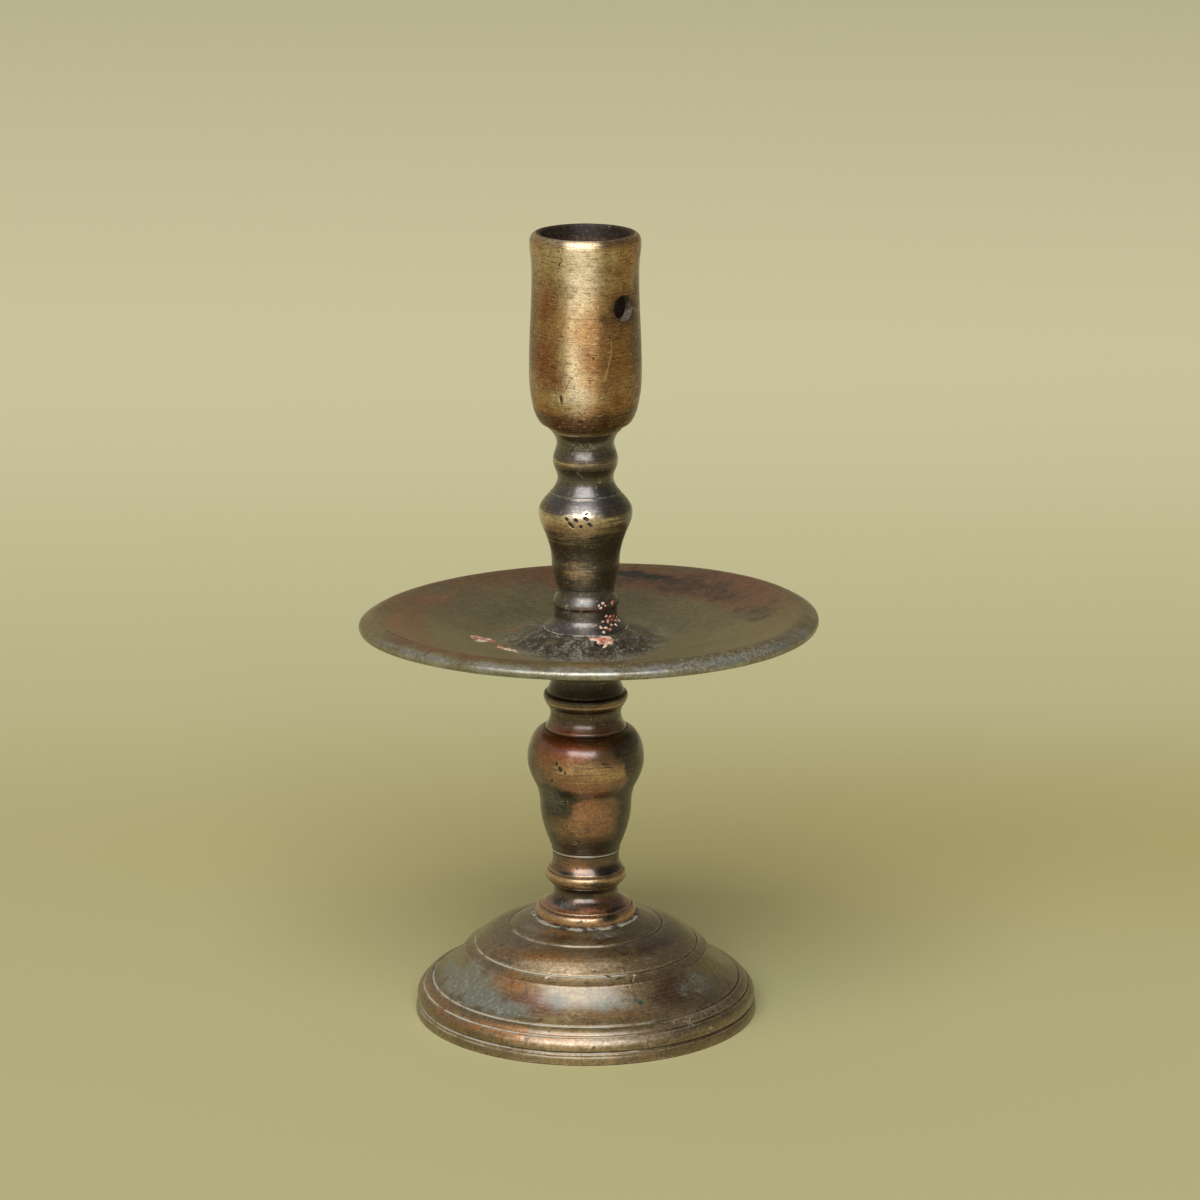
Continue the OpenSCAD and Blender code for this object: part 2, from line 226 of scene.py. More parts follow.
def rough_noise(places, cell, seed, octaves=3):
    """Noise from about -1 to 1, with finer and weaker noise added at each octave."""
    total = np.zeros(places.shape[:-1])
    reach = 0.0
    for octave in range(octaves):
        weight = 0.5 ** octave
        total += weight * lattice_noise(places, cell * weight, seed + octave)
        reach += weight
    return total / reach


def smooth_step(low, high, value):
    """0 below low, 1 above high, and smooth between them."""
    share = np.clip((value - low) / (high - low), 0, 1)
    return share * share * (3 - 2 * share)


# Outlines, read from the frame

SEAM_SLACK = 0.002
FINE_STEP = 0.04
SHARP_TURN = math.radians(22)


def seam_outline(node):
    """Outline of a turned CAD node as places [radius, height] in mm, and whether it is closed.

    It runs along the seam of the node's surfaces with the metal on its left. It is open, from
    axis to axis, unless a hole goes right through the piece.
    """
    mesh = frame["nodes"][node].data
    spots = np.empty(len(mesh.vertices) * 3)
    mesh.vertices.foreach_get("co", spots)
    spots = spots.reshape(-1, 3) / MM
    on_seam = (abs(spots[:, 1]) < SEAM_SLACK) & (spots[:, 0] > SEAM_SLACK)
    place_of = {int(i): (round(spots[i, 0], 3), round(spots[i, 2], 3)) for i in np.flatnonzero(on_seam)}
    near = {}

    def join(a, b):
        near.setdefault(a, set()).add(b)
        near.setdefault(b, set()).add(a)

    for edge in mesh.edges:
        a, b = (place_of.get(i) for i in edge.vertices)
        if a and b and a != b:
            join(a, b)
    # A flat face has no edge on the seam, so its two ends are joined. So are the two ends of a gap
    # where the faces were split another way. The last two ends belong to faces that reach the axis
    ends = [place for place in near if len(near[place]) == 1]
    pairs = sorted((math.dist(a, b), a, b) for a in ends for b in ends if a < b)
    level = [pair for pair in pairs if abs(pair[1][1] - pair[2][1]) < SEAM_SLACK]
    for _, a, b in level + pairs:
        if a in ends and b in ends and (len(ends) > 2 or abs(a[1] - b[1]) < SEAM_SLACK):
            join(a, b)
            ends = [place for place in ends if place not in (a, b)]
    on_axis = [(0.0, place[1]) for place in ends]
    for place, middle in zip(ends, on_axis):
        join(place, middle)
    if len(on_axis) not in (0, 2):
        raise RuntimeError(f"{node} meets the axis {len(on_axis)} times, and not never or twice")
    start = on_axis[0] if on_axis else min(near, key=lambda place: (place[0], -place[1]))
    chain = [start]
    before = None
    while True:
        onward = sorted(near[chain[-1]] - {before})
        if not onward or (len(chain) > 2 and start in onward):
            break
        before = chain[-1]
        chain.append(onward[0])
    if len(chain) != len(near):
        raise RuntimeError(f"the outline of {node} has {len(chain)} of its {len(near)} places")
    places = np.array(chain)
    area = np.sum(places[:, 0] * np.roll(places[:, 1], -1) - np.roll(places[:, 0], -1) * places[:, 1])
    if area < 0:
        places = np.concatenate([places[:1], places[:0:-1]]) if not on_axis else places[::-1]
    return places, not on_axis


def curved_run(run):
    """Fine places along a smooth curve through the run of places, without the last one."""
    if len(run) < 3:
        count = max(1, int(np.linalg.norm(run[1] - run[0]) / FINE_STEP))
        return run[0] + (run[1] - run[0]) * (np.arange(count)[:, None] / count)
    ends = np.concatenate([[2 * run[0] - run[1]], run, [2 * run[-1] - run[-2]]])
    pieces = []
    for a, b, c, d in zip(ends, ends[1:], ends[2:], ends[3:]):
        spans = [max(1e-6, np.linalg.norm(q - p)) ** 0.5 for p, q in ((a, b), (b, c), (c, d))]
        knots = np.cumsum([0] + spans)
        count = max(1, int(np.linalg.norm(c - b) / FINE_STEP))
        t = (knots[1] + (knots[2] - knots[1]) * np.arange(count) / count)[:, None]

        def blend(p, q, low, high):
            span = knots[high] - knots[low]
            return (knots[high] - t) / span * p + (t - knots[low]) / span * q

        ab, bc, cd = blend(a, b, 0, 1), blend(b, c, 1, 2), blend(c, d, 2, 3)
        pieces.append(blend(blend(ab, bc, 0, 2), blend(bc, cd, 1, 3), 1, 2))
    return np.concatenate(pieces)


def lengths_along(line):
    """Length of the line from its start to each of its places."""
    return np.concatenate([[0], np.cumsum(np.linalg.norm(np.diff(line, axis=0), axis=1))])


def fine_line(places, closed):
    """Evenly spaced places along the outline, curved between its sharp corners."""
    ring = np.concatenate([places, places[:1]]) if closed else places
    steps = np.diff(ring, axis=0)
    heading = np.unwrap(np.arctan2(steps[:, 1], steps[:, 0]))
    sharp = np.flatnonzero(abs(np.diff(heading)) > SHARP_TURN) + 1
    corners = [0, *sharp, len(ring) - 1]
    runs = [curved_run(ring[a:b + 1]) for a, b in zip(corners, corners[1:])]
    line = np.concatenate(runs + [ring[-1:]])
    length = lengths_along(line)
    even = np.linspace(0, length[-1], int(length[-1] / FINE_STEP) + 1)
    return np.stack([np.interp(even, length, column) for column in line.T], 1)


def blurred(values, closed, width):
    """The values with each one averaged with its neighbours over about the width, in mm."""
    reach = max(1, int(4 * width / FINE_STEP))
    weights = np.exp(-0.5 * (np.arange(-reach, reach + 1) * FINE_STEP / width) ** 2)
    weights /= weights.sum()
    if closed:
        padded = np.concatenate([values[-reach - 1:-1], values, values[1:reach + 1]])
    else:
        head = 2 * values[0] - values[reach:0:-1]
        tail = 2 * values[-1] - values[-2:-reach - 2:-1]
        padded = np.concatenate([head, values, tail])
    return np.stack([np.convolve(column, weights, "valid") for column in padded.T], 1)


# Turned pieces on a grid

BEND_GAIN = 2.2
WEAR_WIDTH = 0.22
# The rubbed mask also carries painted highlights, and the dark and dirt masks also carry painted shade
SOFT_MASKS = ("worn", "grime_and_shade", "red", "copper", "bloom", "dark")


def everywhere(r, z, out, up):
    """Rows as close together as the piece's step says, all over."""
    return 1.0


class Turning:
    """A turned piece on a grid: its rows follow the outline, and its columns go round the axis."""

    def __init__(self, node, columns, step, seed, rub, interest=everywhere):
        places, self.closed = seam_outline(node)
        line = blurred(fine_line(places, self.closed), self.closed, rub)
        line[:, 0] = np.maximum(line[:, 0], 0)
        if not self.closed:
            line[[0, -1], 0] = 0
        ahead = np.gradient(line, axis=0)
        heading = np.unwrap(np.arctan2(ahead[:, 1], ahead[:, 0]))
        heading = blurred(heading[:, None], False, WEAR_WIDTH)[:, 0]
        bend = np.gradient(heading) / FINE_STEP
        length = lengths_along(line)
        faces = (np.sin(heading), -np.cos(heading))
        density = interest(*line.T, *faces) * (1 + BEND_GAIN * np.minimum(abs(bend), 1.5)) / step
        crowd = np.concatenate([[0], np.cumsum((density[1:] + density[:-1]) / 2 * FINE_STEP)])
        picks = np.linspace(0, crowd[-1], int(crowd[-1]) + 1)
        if self.closed:
            picks = picks[:-1]
        traced = (*line.T, length, bend, *faces)
        self.r, self.z, self.along, self.bend, *facing = (np.interp(picks, crowd, each) for each in traced)
        self.facing = np.stack(facing, 1)
        self.facing /= np.linalg.norm(self.facing, axis=1)[:, None]
        self.node = node
        self.seed = seed
        self.girth = 2 * np.pi * np.median(self.r)
        self.lengths = np.append(self.along, length[-1])
        self.shares = np.append(picks / crowd[-1], 1.0)
        self.angle = np.radians(BACK) + 2 * np.pi * np.arange(columns) / columns
        self.shift = np.zeros((len(self.r), columns))
        self.lift = np.zeros_like(self.shift)
        self.slide = np.zeros(len(self.r))
        self.places = self.moved()
        self.ragged = rough_noise(self.places, 4.0, seed + 50, 5) * 0.9
        self.masks = {name: np.zeros_like(self.shift) for name in SOFT_MASKS}

    def moved(self):
        """Places in mm: the outline turned round the axis, with its shift, its lift and its slide."""
        radius = self.r[:, None] + self.facing[:, :1] * self.shift
        if not self.closed:
            radius[[0, -1]] = 0
        height = self.z[:, None] + self.facing[:, 1:] * self.shift + self.lift
        across = radius * np.cos(self.angle) + self.slide[:, None]
        return np.stack([across, radius * np.sin(self.angle), height], 2)

    def row_near(self, z, r=None):
        """Row nearest to a height on the outer skin, or to a radius and a height."""
        if r is None:
            return int(np.argmin(abs(self.z - z) + np.where(self.facing[:, 0] > 0.05, 0, 1000)))
        return int(np.argmin(np.hypot(self.r - r, self.z - z)))

    def spread(self, spot, wide, tall, turn=0.0):
        """Distance of each grid point from a spot, where the edge of an oval of that half size is at 1.

        A spot is (direction, height) or (direction, height, radius), and turn rolls the oval.
        """
        row = self.row_near(*spot[1:])
        away = (self.angle - math.radians(spot[0]) + np.pi) % (2 * np.pi) - np.pi
        across = (away * self.r[row])[None, :]
        up = (self.along - self.along[row])[:, None]
        cos, sin = math.cos(math.radians(turn)), math.sin(math.radians(turn))
        return np.hypot((across * cos + up * sin) / wide, (up * cos - across * sin) / tall)

    def patch(self, mask, spot, wide, tall, amount, ragged=0.35):
        """Adds a soft patch with a ragged edge to a mask."""
        distance = self.spread(spot, wide, tall) + ragged * self.ragged
        self.masks[mask] += amount * (1 - smooth_step(0.1, 1.5, distance))

    def band(self, mask, z, half, amount, ragged=0.3, r=None):
        """Adds a soft band all round to a mask."""
        row = self.row_near(z, r)
        distance = abs(self.along - self.along[row])[:, None] / half + ragged * self.ragged
        self.masks[mask] += amount * (1 - smooth_step(0.45, 1.25, distance))

    def paint(self, table):
        """Adds what a table gives for each mask: a patch where a row starts with a spot, or else a band."""
        for mask, rows in table.items():
            self.masks.setdefault(mask, np.zeros_like(self.shift))
            for place, *shape in rows:
                add = self.patch if isinstance(place, tuple) else self.band
                add(mask, place, *shape)

    def dent(self, spot, wide, tall, deep, turn=0.0, rim=0.3):
        """Sinks a dent with a raised rim."""
        distance = self.spread(spot, wide, tall, turn)
        hollow = np.exp(-2.2 * distance ** 3)
        raised = np.exp(-((distance - 1.15) / 0.3) ** 2)
        self.shift += wear().dents * deep * (rim * raised - hollow)
        self.masks["dark"] += 0.9 * hollow
        self.masks["worn"] += 0.45 * raised

    def scatter(self, count, low, high, size, deep, salt):
        """Sinks many small pits between two heights of the outer skin."""
        rng = np.random.default_rng(self.seed + salt)
        for _ in range(count):
            spot = (rng.uniform(-180, 180), rng.uniform(low, high))
            wide = size * rng.uniform(0.6, 1.6)
            tall = wide * rng.uniform(0.5, 1.1)
            self.dent(spot, wide, tall, deep * rng.uniform(0.4, 1.2), rng.uniform(-60, 60))

    def marks(self, rows):
        """Crisp straight marks from start to end, each as the inputs of the node group Mark."""
        marks = []
        for start, end, wide in rows:
            ends = [self.row_near(*spot[1:]) for spot in (start, end)]
            radius = self.r[ends[0]]
            run = math.radians(end[0] - start[0]) * radius
            rise = self.along[ends[1]] - self.along[ends[0]]
            across = ((start[0] + end[0]) / 2 - BACK) / 360 % 1 * self.girth
            stretch = 2 * math.pi * radius / self.girth
            long = math.hypot(run, rise) / 2
            marks.append((across, self.along[ends].mean(), stretch, long, wide / 2, -math.atan2(rise, run)))
        return marks

    def age(self, arris, groove):
        """Marks arrises as rubbed and grooves as dirty, by how sharply the outline bends."""
        rubbed = smooth_step(0.12, 0.75, self.bend)[:, None]
        filled = smooth_step(0.15, 0.9, -self.bend)[:, None]
        self.masks["worn"] += arris * rubbed * (0.75 + 0.5 * self.ragged)
        self.masks["grime_and_shade"] += groove * filled * (0.8 + 0.5 * self.ragged)

    def piece(self, name, material, slot):
        """Makes the mesh object and puts it in the place of its CAD node."""
        masks = {mask: np.clip(grid, 0, 1.5).reshape(-1) for mask, grid in self.masks.items()}
        mesh = grid_mesh(name, self.moved(), self.closed, self.shares, self.lengths, self.girth, masks)
        return placed(name, mesh, material, self.node)


def grid_mesh(name, grid, closed, shares, lengths, girth, masks):
    """Smooth mesh of a grid of places in mm that goes round the axis, with two UV maps and its masks.

    Shares and lengths say how far along the outline each row lies, and then the outline's end. If the
    grid isn't closed, its first and last rows are points on the axis, so their squares are triangles.
    """
    rows, columns = grid.shape[:2]
    index = np.arange(rows * columns).reshape(rows, columns)
    beside = np.roll(index, -1, axis=1)
    below = np.arange(rows if closed else rows - 1)
    above = (below + 1) % rows
    quads = np.stack([index[below], beside[below], beside[above], index[above]], 2).reshape(-1, 4)
    across = np.broadcast_to(np.arange(columns + 1) / columns, (len(below), columns + 1))
    left, right = across[:, :-1], across[:, 1:]
    low, high = (np.repeat(shares[each][:, None], columns, 1) for each in (below, below + 1))
    bake = np.stack([left, low, right, low, right, high, left, high], 2).reshape(-1, 4, 2)
    skin = np.stack([bake[..., 0] * girth, np.interp(bake[..., 1], shares, lengths)], 2)
    places = grid.reshape(-1, 3)
    if not closed:
        index[0] = 0
        index[-1] = (rows - 1) * columns
        used, renamed = np.unique(index, return_inverse=True)
        places, quads = places[used], renamed.reshape(-1)[quads]
        masks = {mask: values[used] for mask, values in masks.items()}
    kept = quads != np.roll(quads, -1, axis=1)
    sizes = kept.sum(1)
    corners = quads[kept]
    mesh = bpy.data.meshes.new(name)
    mesh.vertices.add(len(places))
    mesh.vertices.foreach_set("co", (places * MM).astype(np.float32).ravel())
    mesh.loops.add(len(corners))
    mesh.loops.foreach_set("vertex_index", corners.astype(np.int32))
    mesh.polygons.add(len(quads))
    mesh.polygons.foreach_set("loop_start", (np.cumsum(sizes) - sizes).astype(np.int32))
    mesh.polygons.foreach_set("loop_total", sizes.astype(np.int32))
    mesh.update(calc_edges=True)
    mesh.validate()
    mesh.shade_smooth()
    for layer, coordinates in (("OFBake", bake), ("Skin", skin)):
        uv = mesh.uv_layers.new(name=layer).uv
        uv.foreach_set("vector", coordinates.reshape(-1, 2)[kept.reshape(-1)].astype(np.float32).ravel())
    add_masks(mesh, masks)
    return mesh


def ring_mesh(name, grid):
    """Mesh of a grid of places in mm that closes on itself both ways."""
    shares = np.arange(len(grid) + 1) / len(grid)
    girth = 2 * np.pi * np.median(np.hypot(grid[..., 0], grid[..., 1]))
    return grid_mesh(name, grid, True, shares, 10.0 * shares, girth, {})


def built_mesh(name, build, **settings):
    """Mesh from one of the builders in bmesh.ops."""
    bm = bmesh.new()
    build(bm, **settings)
    mesh = bpy.data.meshes.new(name)
    bm.to_mesh(mesh)
    bm.free()
    return mesh


def add_masks(mesh, masks):
    """Stores each mask on the points of the mesh."""
    for mask, values in masks.items():
        layer = mesh.attributes.get(mask) or mesh.attributes.new(mask, "FLOAT", "POINT")
        layer.data.foreach_set("value", values.astype(np.float32))


def added(name, data):
    """New object for its data, in the scene."""
    thing = bpy.data.objects.new(name, data)
    bpy.context.scene.collection.objects.link(thing)
    return thing


def placed(name, mesh, material, node=None):
    """Object for a finished mesh, riding on the body, in the place of its CAD node."""
    piece = added(name, mesh)
    mesh.materials.clear()
    mesh.materials.append(material)
    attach(piece, BODY)
    if node:
        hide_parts(node)
    return piece


# Shader node groups that the finishes share

PER_MM = 1 / MM
# Streaks are long round the piece and close together along its outline
STREAK_SHAPE = (0.12, 1.5, 1.0)


class Graph:
    """Short names for adding nodes to a material or a node group."""

    def __init__(self, tree):
        self.tree = tree

    def fill(self, pins, values):
        """Links or sets inputs, given by name or number."""
        for key, value in dict(values).items():
            if isinstance(value, bpy.types.NodeSocket):
                self.tree.links.new(value, pins[key])
            else:
                pins[key].default_value = (*value, 1.0) if pins[key].type == "RGBA" else value

    def add(self, kind, inputs=(), **settings):
        """New shader node with its settings and inputs."""
        node = self.tree.nodes.new("ShaderNode" + kind)
        for key, value in settings.items():
            setattr(node, key, value)
        self.fill(node.inputs, inputs)
        return node

    def math(self, operation, *values, clamp=False):
        """Result of a Math node."""
        return self.add("Math", enumerate(values), operation=operation, use_clamp=clamp).outputs[0]

    plus = partialmethod(math, "ADD")
    minus = partialmethod(math, "SUBTRACT")
    times = partialmethod(math, "MULTIPLY")
    over = partialmethod(math, "DIVIDE")
    greater = partialmethod(math, "MAXIMUM")
    times_plus = partialmethod(math, "MULTIPLY_ADD")

    def vector(self, operation, *values):
        """Result of a Vector Math node."""
        return self.add("VectorMath", enumerate(values), operation=operation).outputs[0]

    def rise(self, value, low, high, to_low=0.0, to_high=1.0):
        """Smooth step of a value from low to high."""
        inputs = enumerate((value, low, high, to_low, to_high))
        return self.add("MapRange", inputs, interpolation_type="SMOOTHSTEP").outputs[0]

    def mix(self, share, a, b):
        """Mix of two values."""
        return self.add("Mix", {0: share, 2: a, 3: b}, data_type="FLOAT").outputs[0]

    def blend(self, share, a, b):
        """Mix of two colours."""
        return self.add("Mix", {0: share, 6: a, 7: b}, data_type="RGBA").outputs[2]

    def place(self):
        """The object's own coordinates."""
        return self.add("TexCoord").outputs["Object"]

    def skin(self):
        """Place in mm on the unrolled skin of a piece."""
        return self.add("UVMap", uv_map="Skin").outputs[0]

    def parts(self, vector):
        """The three parts of a vector."""
        return self.add("SeparateXYZ", {0: vector}).outputs

    def channels(self, colour):
        """The three channels of a colour."""
        return self.add("SeparateColor", {0: colour}).outputs

    def flat(self, x, y):
        """Level vector from its two parts."""
        return self.add("CombineXYZ", {0: x, 1: y}).outputs[0]

    def turned(self, vector, angle):
        """A vector turned about the Z axis."""
        return self.add("VectorRotate", {"Vector": vector, "Angle": angle}, rotation_type="Z_AXIS").outputs[0]

    def noise(self, scale, detail=3.0, rough=0.55, vector=None):
        """Noise on the object's own coordinates, with a scale in features per mm."""
        if vector is None:
            vector, scale = self.place(), self.times(scale, PER_MM)
        inputs = {"Vector": vector, "Scale": scale, "Detail": detail, "Roughness": rough}
        return self.add("TexNoise", inputs).outputs[0]

    def drift(self, vector, scale, detail):
        """Three noises at once, for moving places about."""
        return self.add("TexNoise", {"Vector": vector, "Scale": scale, "Detail": detail}).outputs["Color"]

    def spots(self, vector, scale, **settings):
        """Distance to the nearest of many random spots, and three random numbers of that spot."""
        out = self.add("TexVoronoi", {"Vector": vector, "Scale": scale}, **settings).outputs
        return out["Distance"], self.channels(out["Color"])

    def group(self, name, *values):
        """Result of a shared node group with its own values."""
        return self.add("Group", enumerate(values), node_tree=shared_group(name)).outputs[0]


def stain_graph(g, scale, low, high, seed, detail):
    """Cloudy stain: noise cut between two levels."""
    moved = g.vector("ADD", g.place(), seed)
    return g.rise(g.noise(g.times(scale, PER_MM), detail, 0.6, moved), low, high)


def broken_graph(g, mask, grain, amount, hardness, streak):
    """Mask with its edge broken up by grain, or by streaks that run round the piece."""
    streaks = g.noise(1.0, 5.0, 0.7, g.vector("MULTIPLY", g.skin(), STREAK_SHAPE))
    mixed = g.minus(g.mix(streak, g.noise(grain, 5.0, 0.65), streaks), 0.5)
    ragged = g.times_plus(g.times(mixed, amount), 2.0, mask)
    level = g.times_plus(g.minus(ragged, 0.5), hardness, 0.5)
    return g.times(g.rise(level, 0.0, 1.0), g.rise(mask, 0.02, 0.3))


def turning_graph(g, rings, waver, broken):
    """Fine rings left by the turning tool, broken here and there."""
    drift = g.times(g.noise(0.25, 1.0), waver)
    along = g.times(g.plus(g.parts(g.skin())[1], drift), rings)
    inputs = {"W": along, "Scale": 1.0, "Detail": 2.0, "Roughness": 0.7}
    ring = g.add("TexNoise", inputs, noise_dimensions="1D").outputs[0]
    faded = g.mix(broken, 1.0, g.rise(g.noise(0.5, 4.0, 0.7), 0.35, 0.65))
    return g.times_plus(g.minus(g.rise(ring, 0.3, 0.7), 0.5), faded, 0.5)


def scratch_graph(g, turn, length, spacing, share, seed, width):
    """Straight fine scratches in one direction, each of its own length."""
    skin = g.skin()
    waved = g.vector("ADD", g.drift(skin, 0.35, 2.0), skin)
    x, y, _ = g.parts(g.turned(g.vector("ADD", waved, seed), turn))
    distance, chance = g.spots(g.flat(g.over(x, length), g.over(y, spacing)), 1.0, voronoi_dimensions="2D")
    reach = g.times(width, g.plus(0.4, chance[1]))
    line = g.minus(1.0, g.over(distance, reach), clamp=True)
    shown = g.math("LESS_THAN", chance[0], share)
    return g.times(g.times(line, shown), g.plus(0.3, chance[2]), clamp=True)


def pit_graph(g, scale, share, size, seed):
    """Small round specks or pits strewn at random."""
    scale = g.times(scale, PER_MM)
    moved = g.vector("ADD", g.place(), seed)
    pushed = g.vector("MULTIPLY", g.drift(moved, scale, 2.0), (1.6 * MM,) * 3)
    distance, chance = g.spots(g.vector("ADD", moved, pushed), scale)
    reach = g.times(size, g.plus(0.3, g.math("POWER", chance[1], 2.0)))
    dot = g.minus(1.0, g.over(distance, reach), clamp=True)
    return g.times(g.rise(dot, 0.0, 0.6), g.math("LESS_THAN", chance[0], share))


def mark_graph(g, across, up, stretch, long, wide, turn):
    """One crisp, slightly wavy mark on the unrolled skin of a piece."""
    skin = g.skin()
    x, y, _ = g.parts(skin)
    waver = g.channels(g.drift(skin, 1.4, 3.0))
    beside = g.times(g.minus(x, across), stretch)
    wavy_x = g.times_plus(waver[0], 0.5, g.minus(beside, 0.25))
    wavy_y = g.times_plus(waver[1], 0.5, g.minus(g.minus(y, up), 0.25))
    x, y, _ = g.parts(g.turned(g.flat(wavy_x, wavy_y), turn))
    ends = g.math("POWER", g.over(x, long), 4.0)
    sides = g.math("POWER", g.over(y, wide), 2.0)
    return g.rise(g.plus(ends, sides), 1.3, 0.5)


# What builds each shared group, and its inputs
GROUPS = {
    "Mark": (mark_graph, {"Across": 0.0, "Up": 0.0, "Stretch": 1.0, "Long": 1.0, "Wide": 0.1, "Turn": 0.0}),
    "Stain": (stain_graph, {"Scale": 0.1, "Low": 0.45, "High": 0.6, "Seed": 0.0, "Detail": 4.0}),
    "Broken mask": (
        broken_graph, {"Mask": 0.0, "Grain": 1.0, "Amount": 0.6, "Hardness": 2.5, "Streak": 0.0},
    ),
    "Turning marks": (turning_graph, {"Rings": 3.0, "Waver": 0.1, "Broken": 0.5}),
    "Scratches": (
        scratch_graph, {"Turn": 0.0, "Length": 4.0, "Spacing": 0.8, "Share": 0.4, "Seed": 0.0, "Width": 0.12},
    ),
    "Pits": (pit_graph, {"Scale": 0.6, "Share": 0.3, "Size": 0.25, "Seed": 0.0}),
}


def shared_group(name):
    """The node group of that name, built the first time that it is asked for."""
    tree = bpy.data.node_groups.get(name)
    if tree is None:
        build, inputs = GROUPS[name]
        tree = bpy.data.node_groups.new(name, "ShaderNodeTree")
        for label, value in inputs.items():
            pin = tree.interface.new_socket(name=label, in_out="INPUT", socket_type="NodeSocketFloat")
            pin.default_value = value
        tree.interface.new_socket(name="Result", in_out="OUTPUT", socket_type="NodeSocketFloat")
        given = tree.nodes.new("NodeGroupInput").outputs
        result = build(Graph(tree), *given[:len(inputs)])
        tree.links.new(result, tree.nodes.new("NodeGroupOutput").inputs[0])
    return tree


class Finish(Graph):
    """An aged metal, built layer on layer from the bare metal up."""

    stain = partialmethod(Graph.group, "Stain")
    turning = partialmethod(Graph.group, "Turning marks")
    pits = partialmethod(Graph.group, "Pits")

    def __init__(self, name, colour, roughness, metallic=1.0, streak=0.0, coat=0.0, haze=0.2, gloss=1.6):
        self.material = bpy.data.materials.new(name)
        self.material.use_nodes = True
        super().__init__(self.material.node_tree)
        self.pins = self.tree.nodes["Principled BSDF"].inputs
        self.colour, self.roughness, self.metallic = colour, roughness, metallic
        self.full_coat = self.coat = coat
        self.fill(self.pins, {"Coat Roughness": haze, "Coat IOR": gloss, "Anisotropic": streak})
        if streak:
            tangent = self.add("Tangent", direction_type="RADIAL", axis="Z").outputs[0]
            self.fill(self.pins, {"Tangent": tangent, "Anisotropic Rotation": 0.25})

    def layer(self, mask, colour, roughness=None, metallic=None, shine=None):
        """Lays a finish on, where the mask says. Shine is a share of the bare metal's coat."""
        self.colour = self.blend(mask, self.colour, colour)
        if roughness is not None:
            self.roughness = self.mix(mask, self.roughness, roughness)
        if metallic is not None:
            self.metallic = self.mix(mask, self.metallic, metallic)
        shine = metallic if shine is None else shine
        if shine is not None and self.full_coat:
            self.coat = self.mix(mask, self.coat, self.full_coat * shine)

    def grain(self, scale, low, high):
        """Makes the colour lighter and darker in fine grain, between two shares of itself."""
        share = self.rise(self.noise(scale, 6.0, 0.7), 0.3, 0.7, low, high)
        self.colour = self.vector("MULTIPLY", self.colour, share)

    def broken(self, mask, *values):
        """A mask stored on the mesh, with its edge broken up."""
        stored = self.add("Attribute", attribute_name=mask).outputs["Fac"]
        return self.group("Broken mask", stored, *values)

    def scratches(self, *rows):
        """Scratches. Each row is (direction in degrees, length, spacing, share, seed, width)."""
        return reduce(self.greater, (self.group("Scratches", math.radians(a), *rest) for a, *rest in rows))

    def marks(self, marks):
        """Crisp marks, from what Turning.marks gives."""
        return reduce(self.greater, [self.group("Mark", *mark) for mark in marks])

    def done(self, *reliefs):
        """Feeds the shader and returns the material. Each relief is a height and what it measures in mm."""
        total = reduce(self.plus, [self.times(height, millimetres) for height, millimetres in reliefs])
        self.fill(self.pins, {
            "Base Color": self.colour, "Roughness": self.roughness, "Metallic": self.metallic,
            "Coat Weight": self.coat,
            "Normal": self.add("Bump", {"Height": total, "Distance": MM, "Strength": 1.0}).outputs[0],
        })
        return self.material


# Finishes of the pieces


def tone(colour, share):
    """A colour made darker or lighter by a share."""
    return tuple(min(1.0, c * share) for c in colour)


def socket_brass(look, light, dark):
    """Bright aged brass of the candle socket, with brown cloud and fine rings."""
    f = Finish("socket_brass", look.brass, 0.38, streak=0.9, coat=0.35, haze=0.3, gloss=1.7)
    f.layer(f.stain(0.1, 0.34, 0.66, 0.011), look.old_brass)
    f.layer(f.broken("worn", 0.9, 0.5, 1.0, 0.4), look.pale_brass, 0.37)
    f.layer(f.broken("copper", 0.5, 0.35, 1.0), look.brown_brass)
    f.layer(f.broken("red", 0.5, 0.35, 1.0), look.red)
    f.layer(f.broken("dark", 0.8, 0.4, 1.0), tone(look.brown, 0.75), 0.44)
    f.grain(2.1, 0.6, 1.22)
    rings = f.turning(4.2, 0.15, 0.8)
    f.layer(f.rise(rings, 0.58, 0.95, 0.0, 0.55), tone(look.brown, 0.8))
    f.layer(f.rise(rings, 0.1, 0.4, 0.3, 0.0), look.pale_brass)
    dark_lines = f.scratches(
        (1, 4, 0.55, 0.5, 3.1, 0.3), (8, 3, 0.6, 0.4, 8.3, 0.3),
        (-50, 2.2, 0.9, 0.3, 5.7, 0.25), (42, 1.8, 0.8, 0.3, 2.2, 0.25),
    )
    f.layer(f.times(dark_lines, 0.8), tone(look.brown, 0.5), 0.5)
    light_lines = f.scratches((-3, 3, 0.8, 0.3, 1.4, 0.25), (35, 1.8, 0.9, 0.3, 7.7, 0.2))
    f.layer(f.times(light_lines, 0.6), look.pale_brass, 0.4)
    f.layer(f.pits(1.3, 0.3, 0.22, 0.02), tone(look.brown, 0.5), 0.5)
    f.layer(f.times(f.marks(light), 0.75), tone(look.gold, 1.3), 0.35)
    f.layer(f.broken("bloom", 1.8, 1.0, 1.6), tone(look.chalk, 0.42), 0.8, 0.0)
    f.layer(f.broken("grime_and_shade", 1.4, 0.6, 1.5), look.soot_and_shade, 0.7, 0.0)
    deep = f.marks(dark)
    f.layer(f.times(deep, 0.8), tone(look.brown, 0.35), 0.5)
    return f.done((deep, -0.12), (rings, 0.008), (dark_lines, -0.014), (f.noise(1.1, 3.0), 0.025))


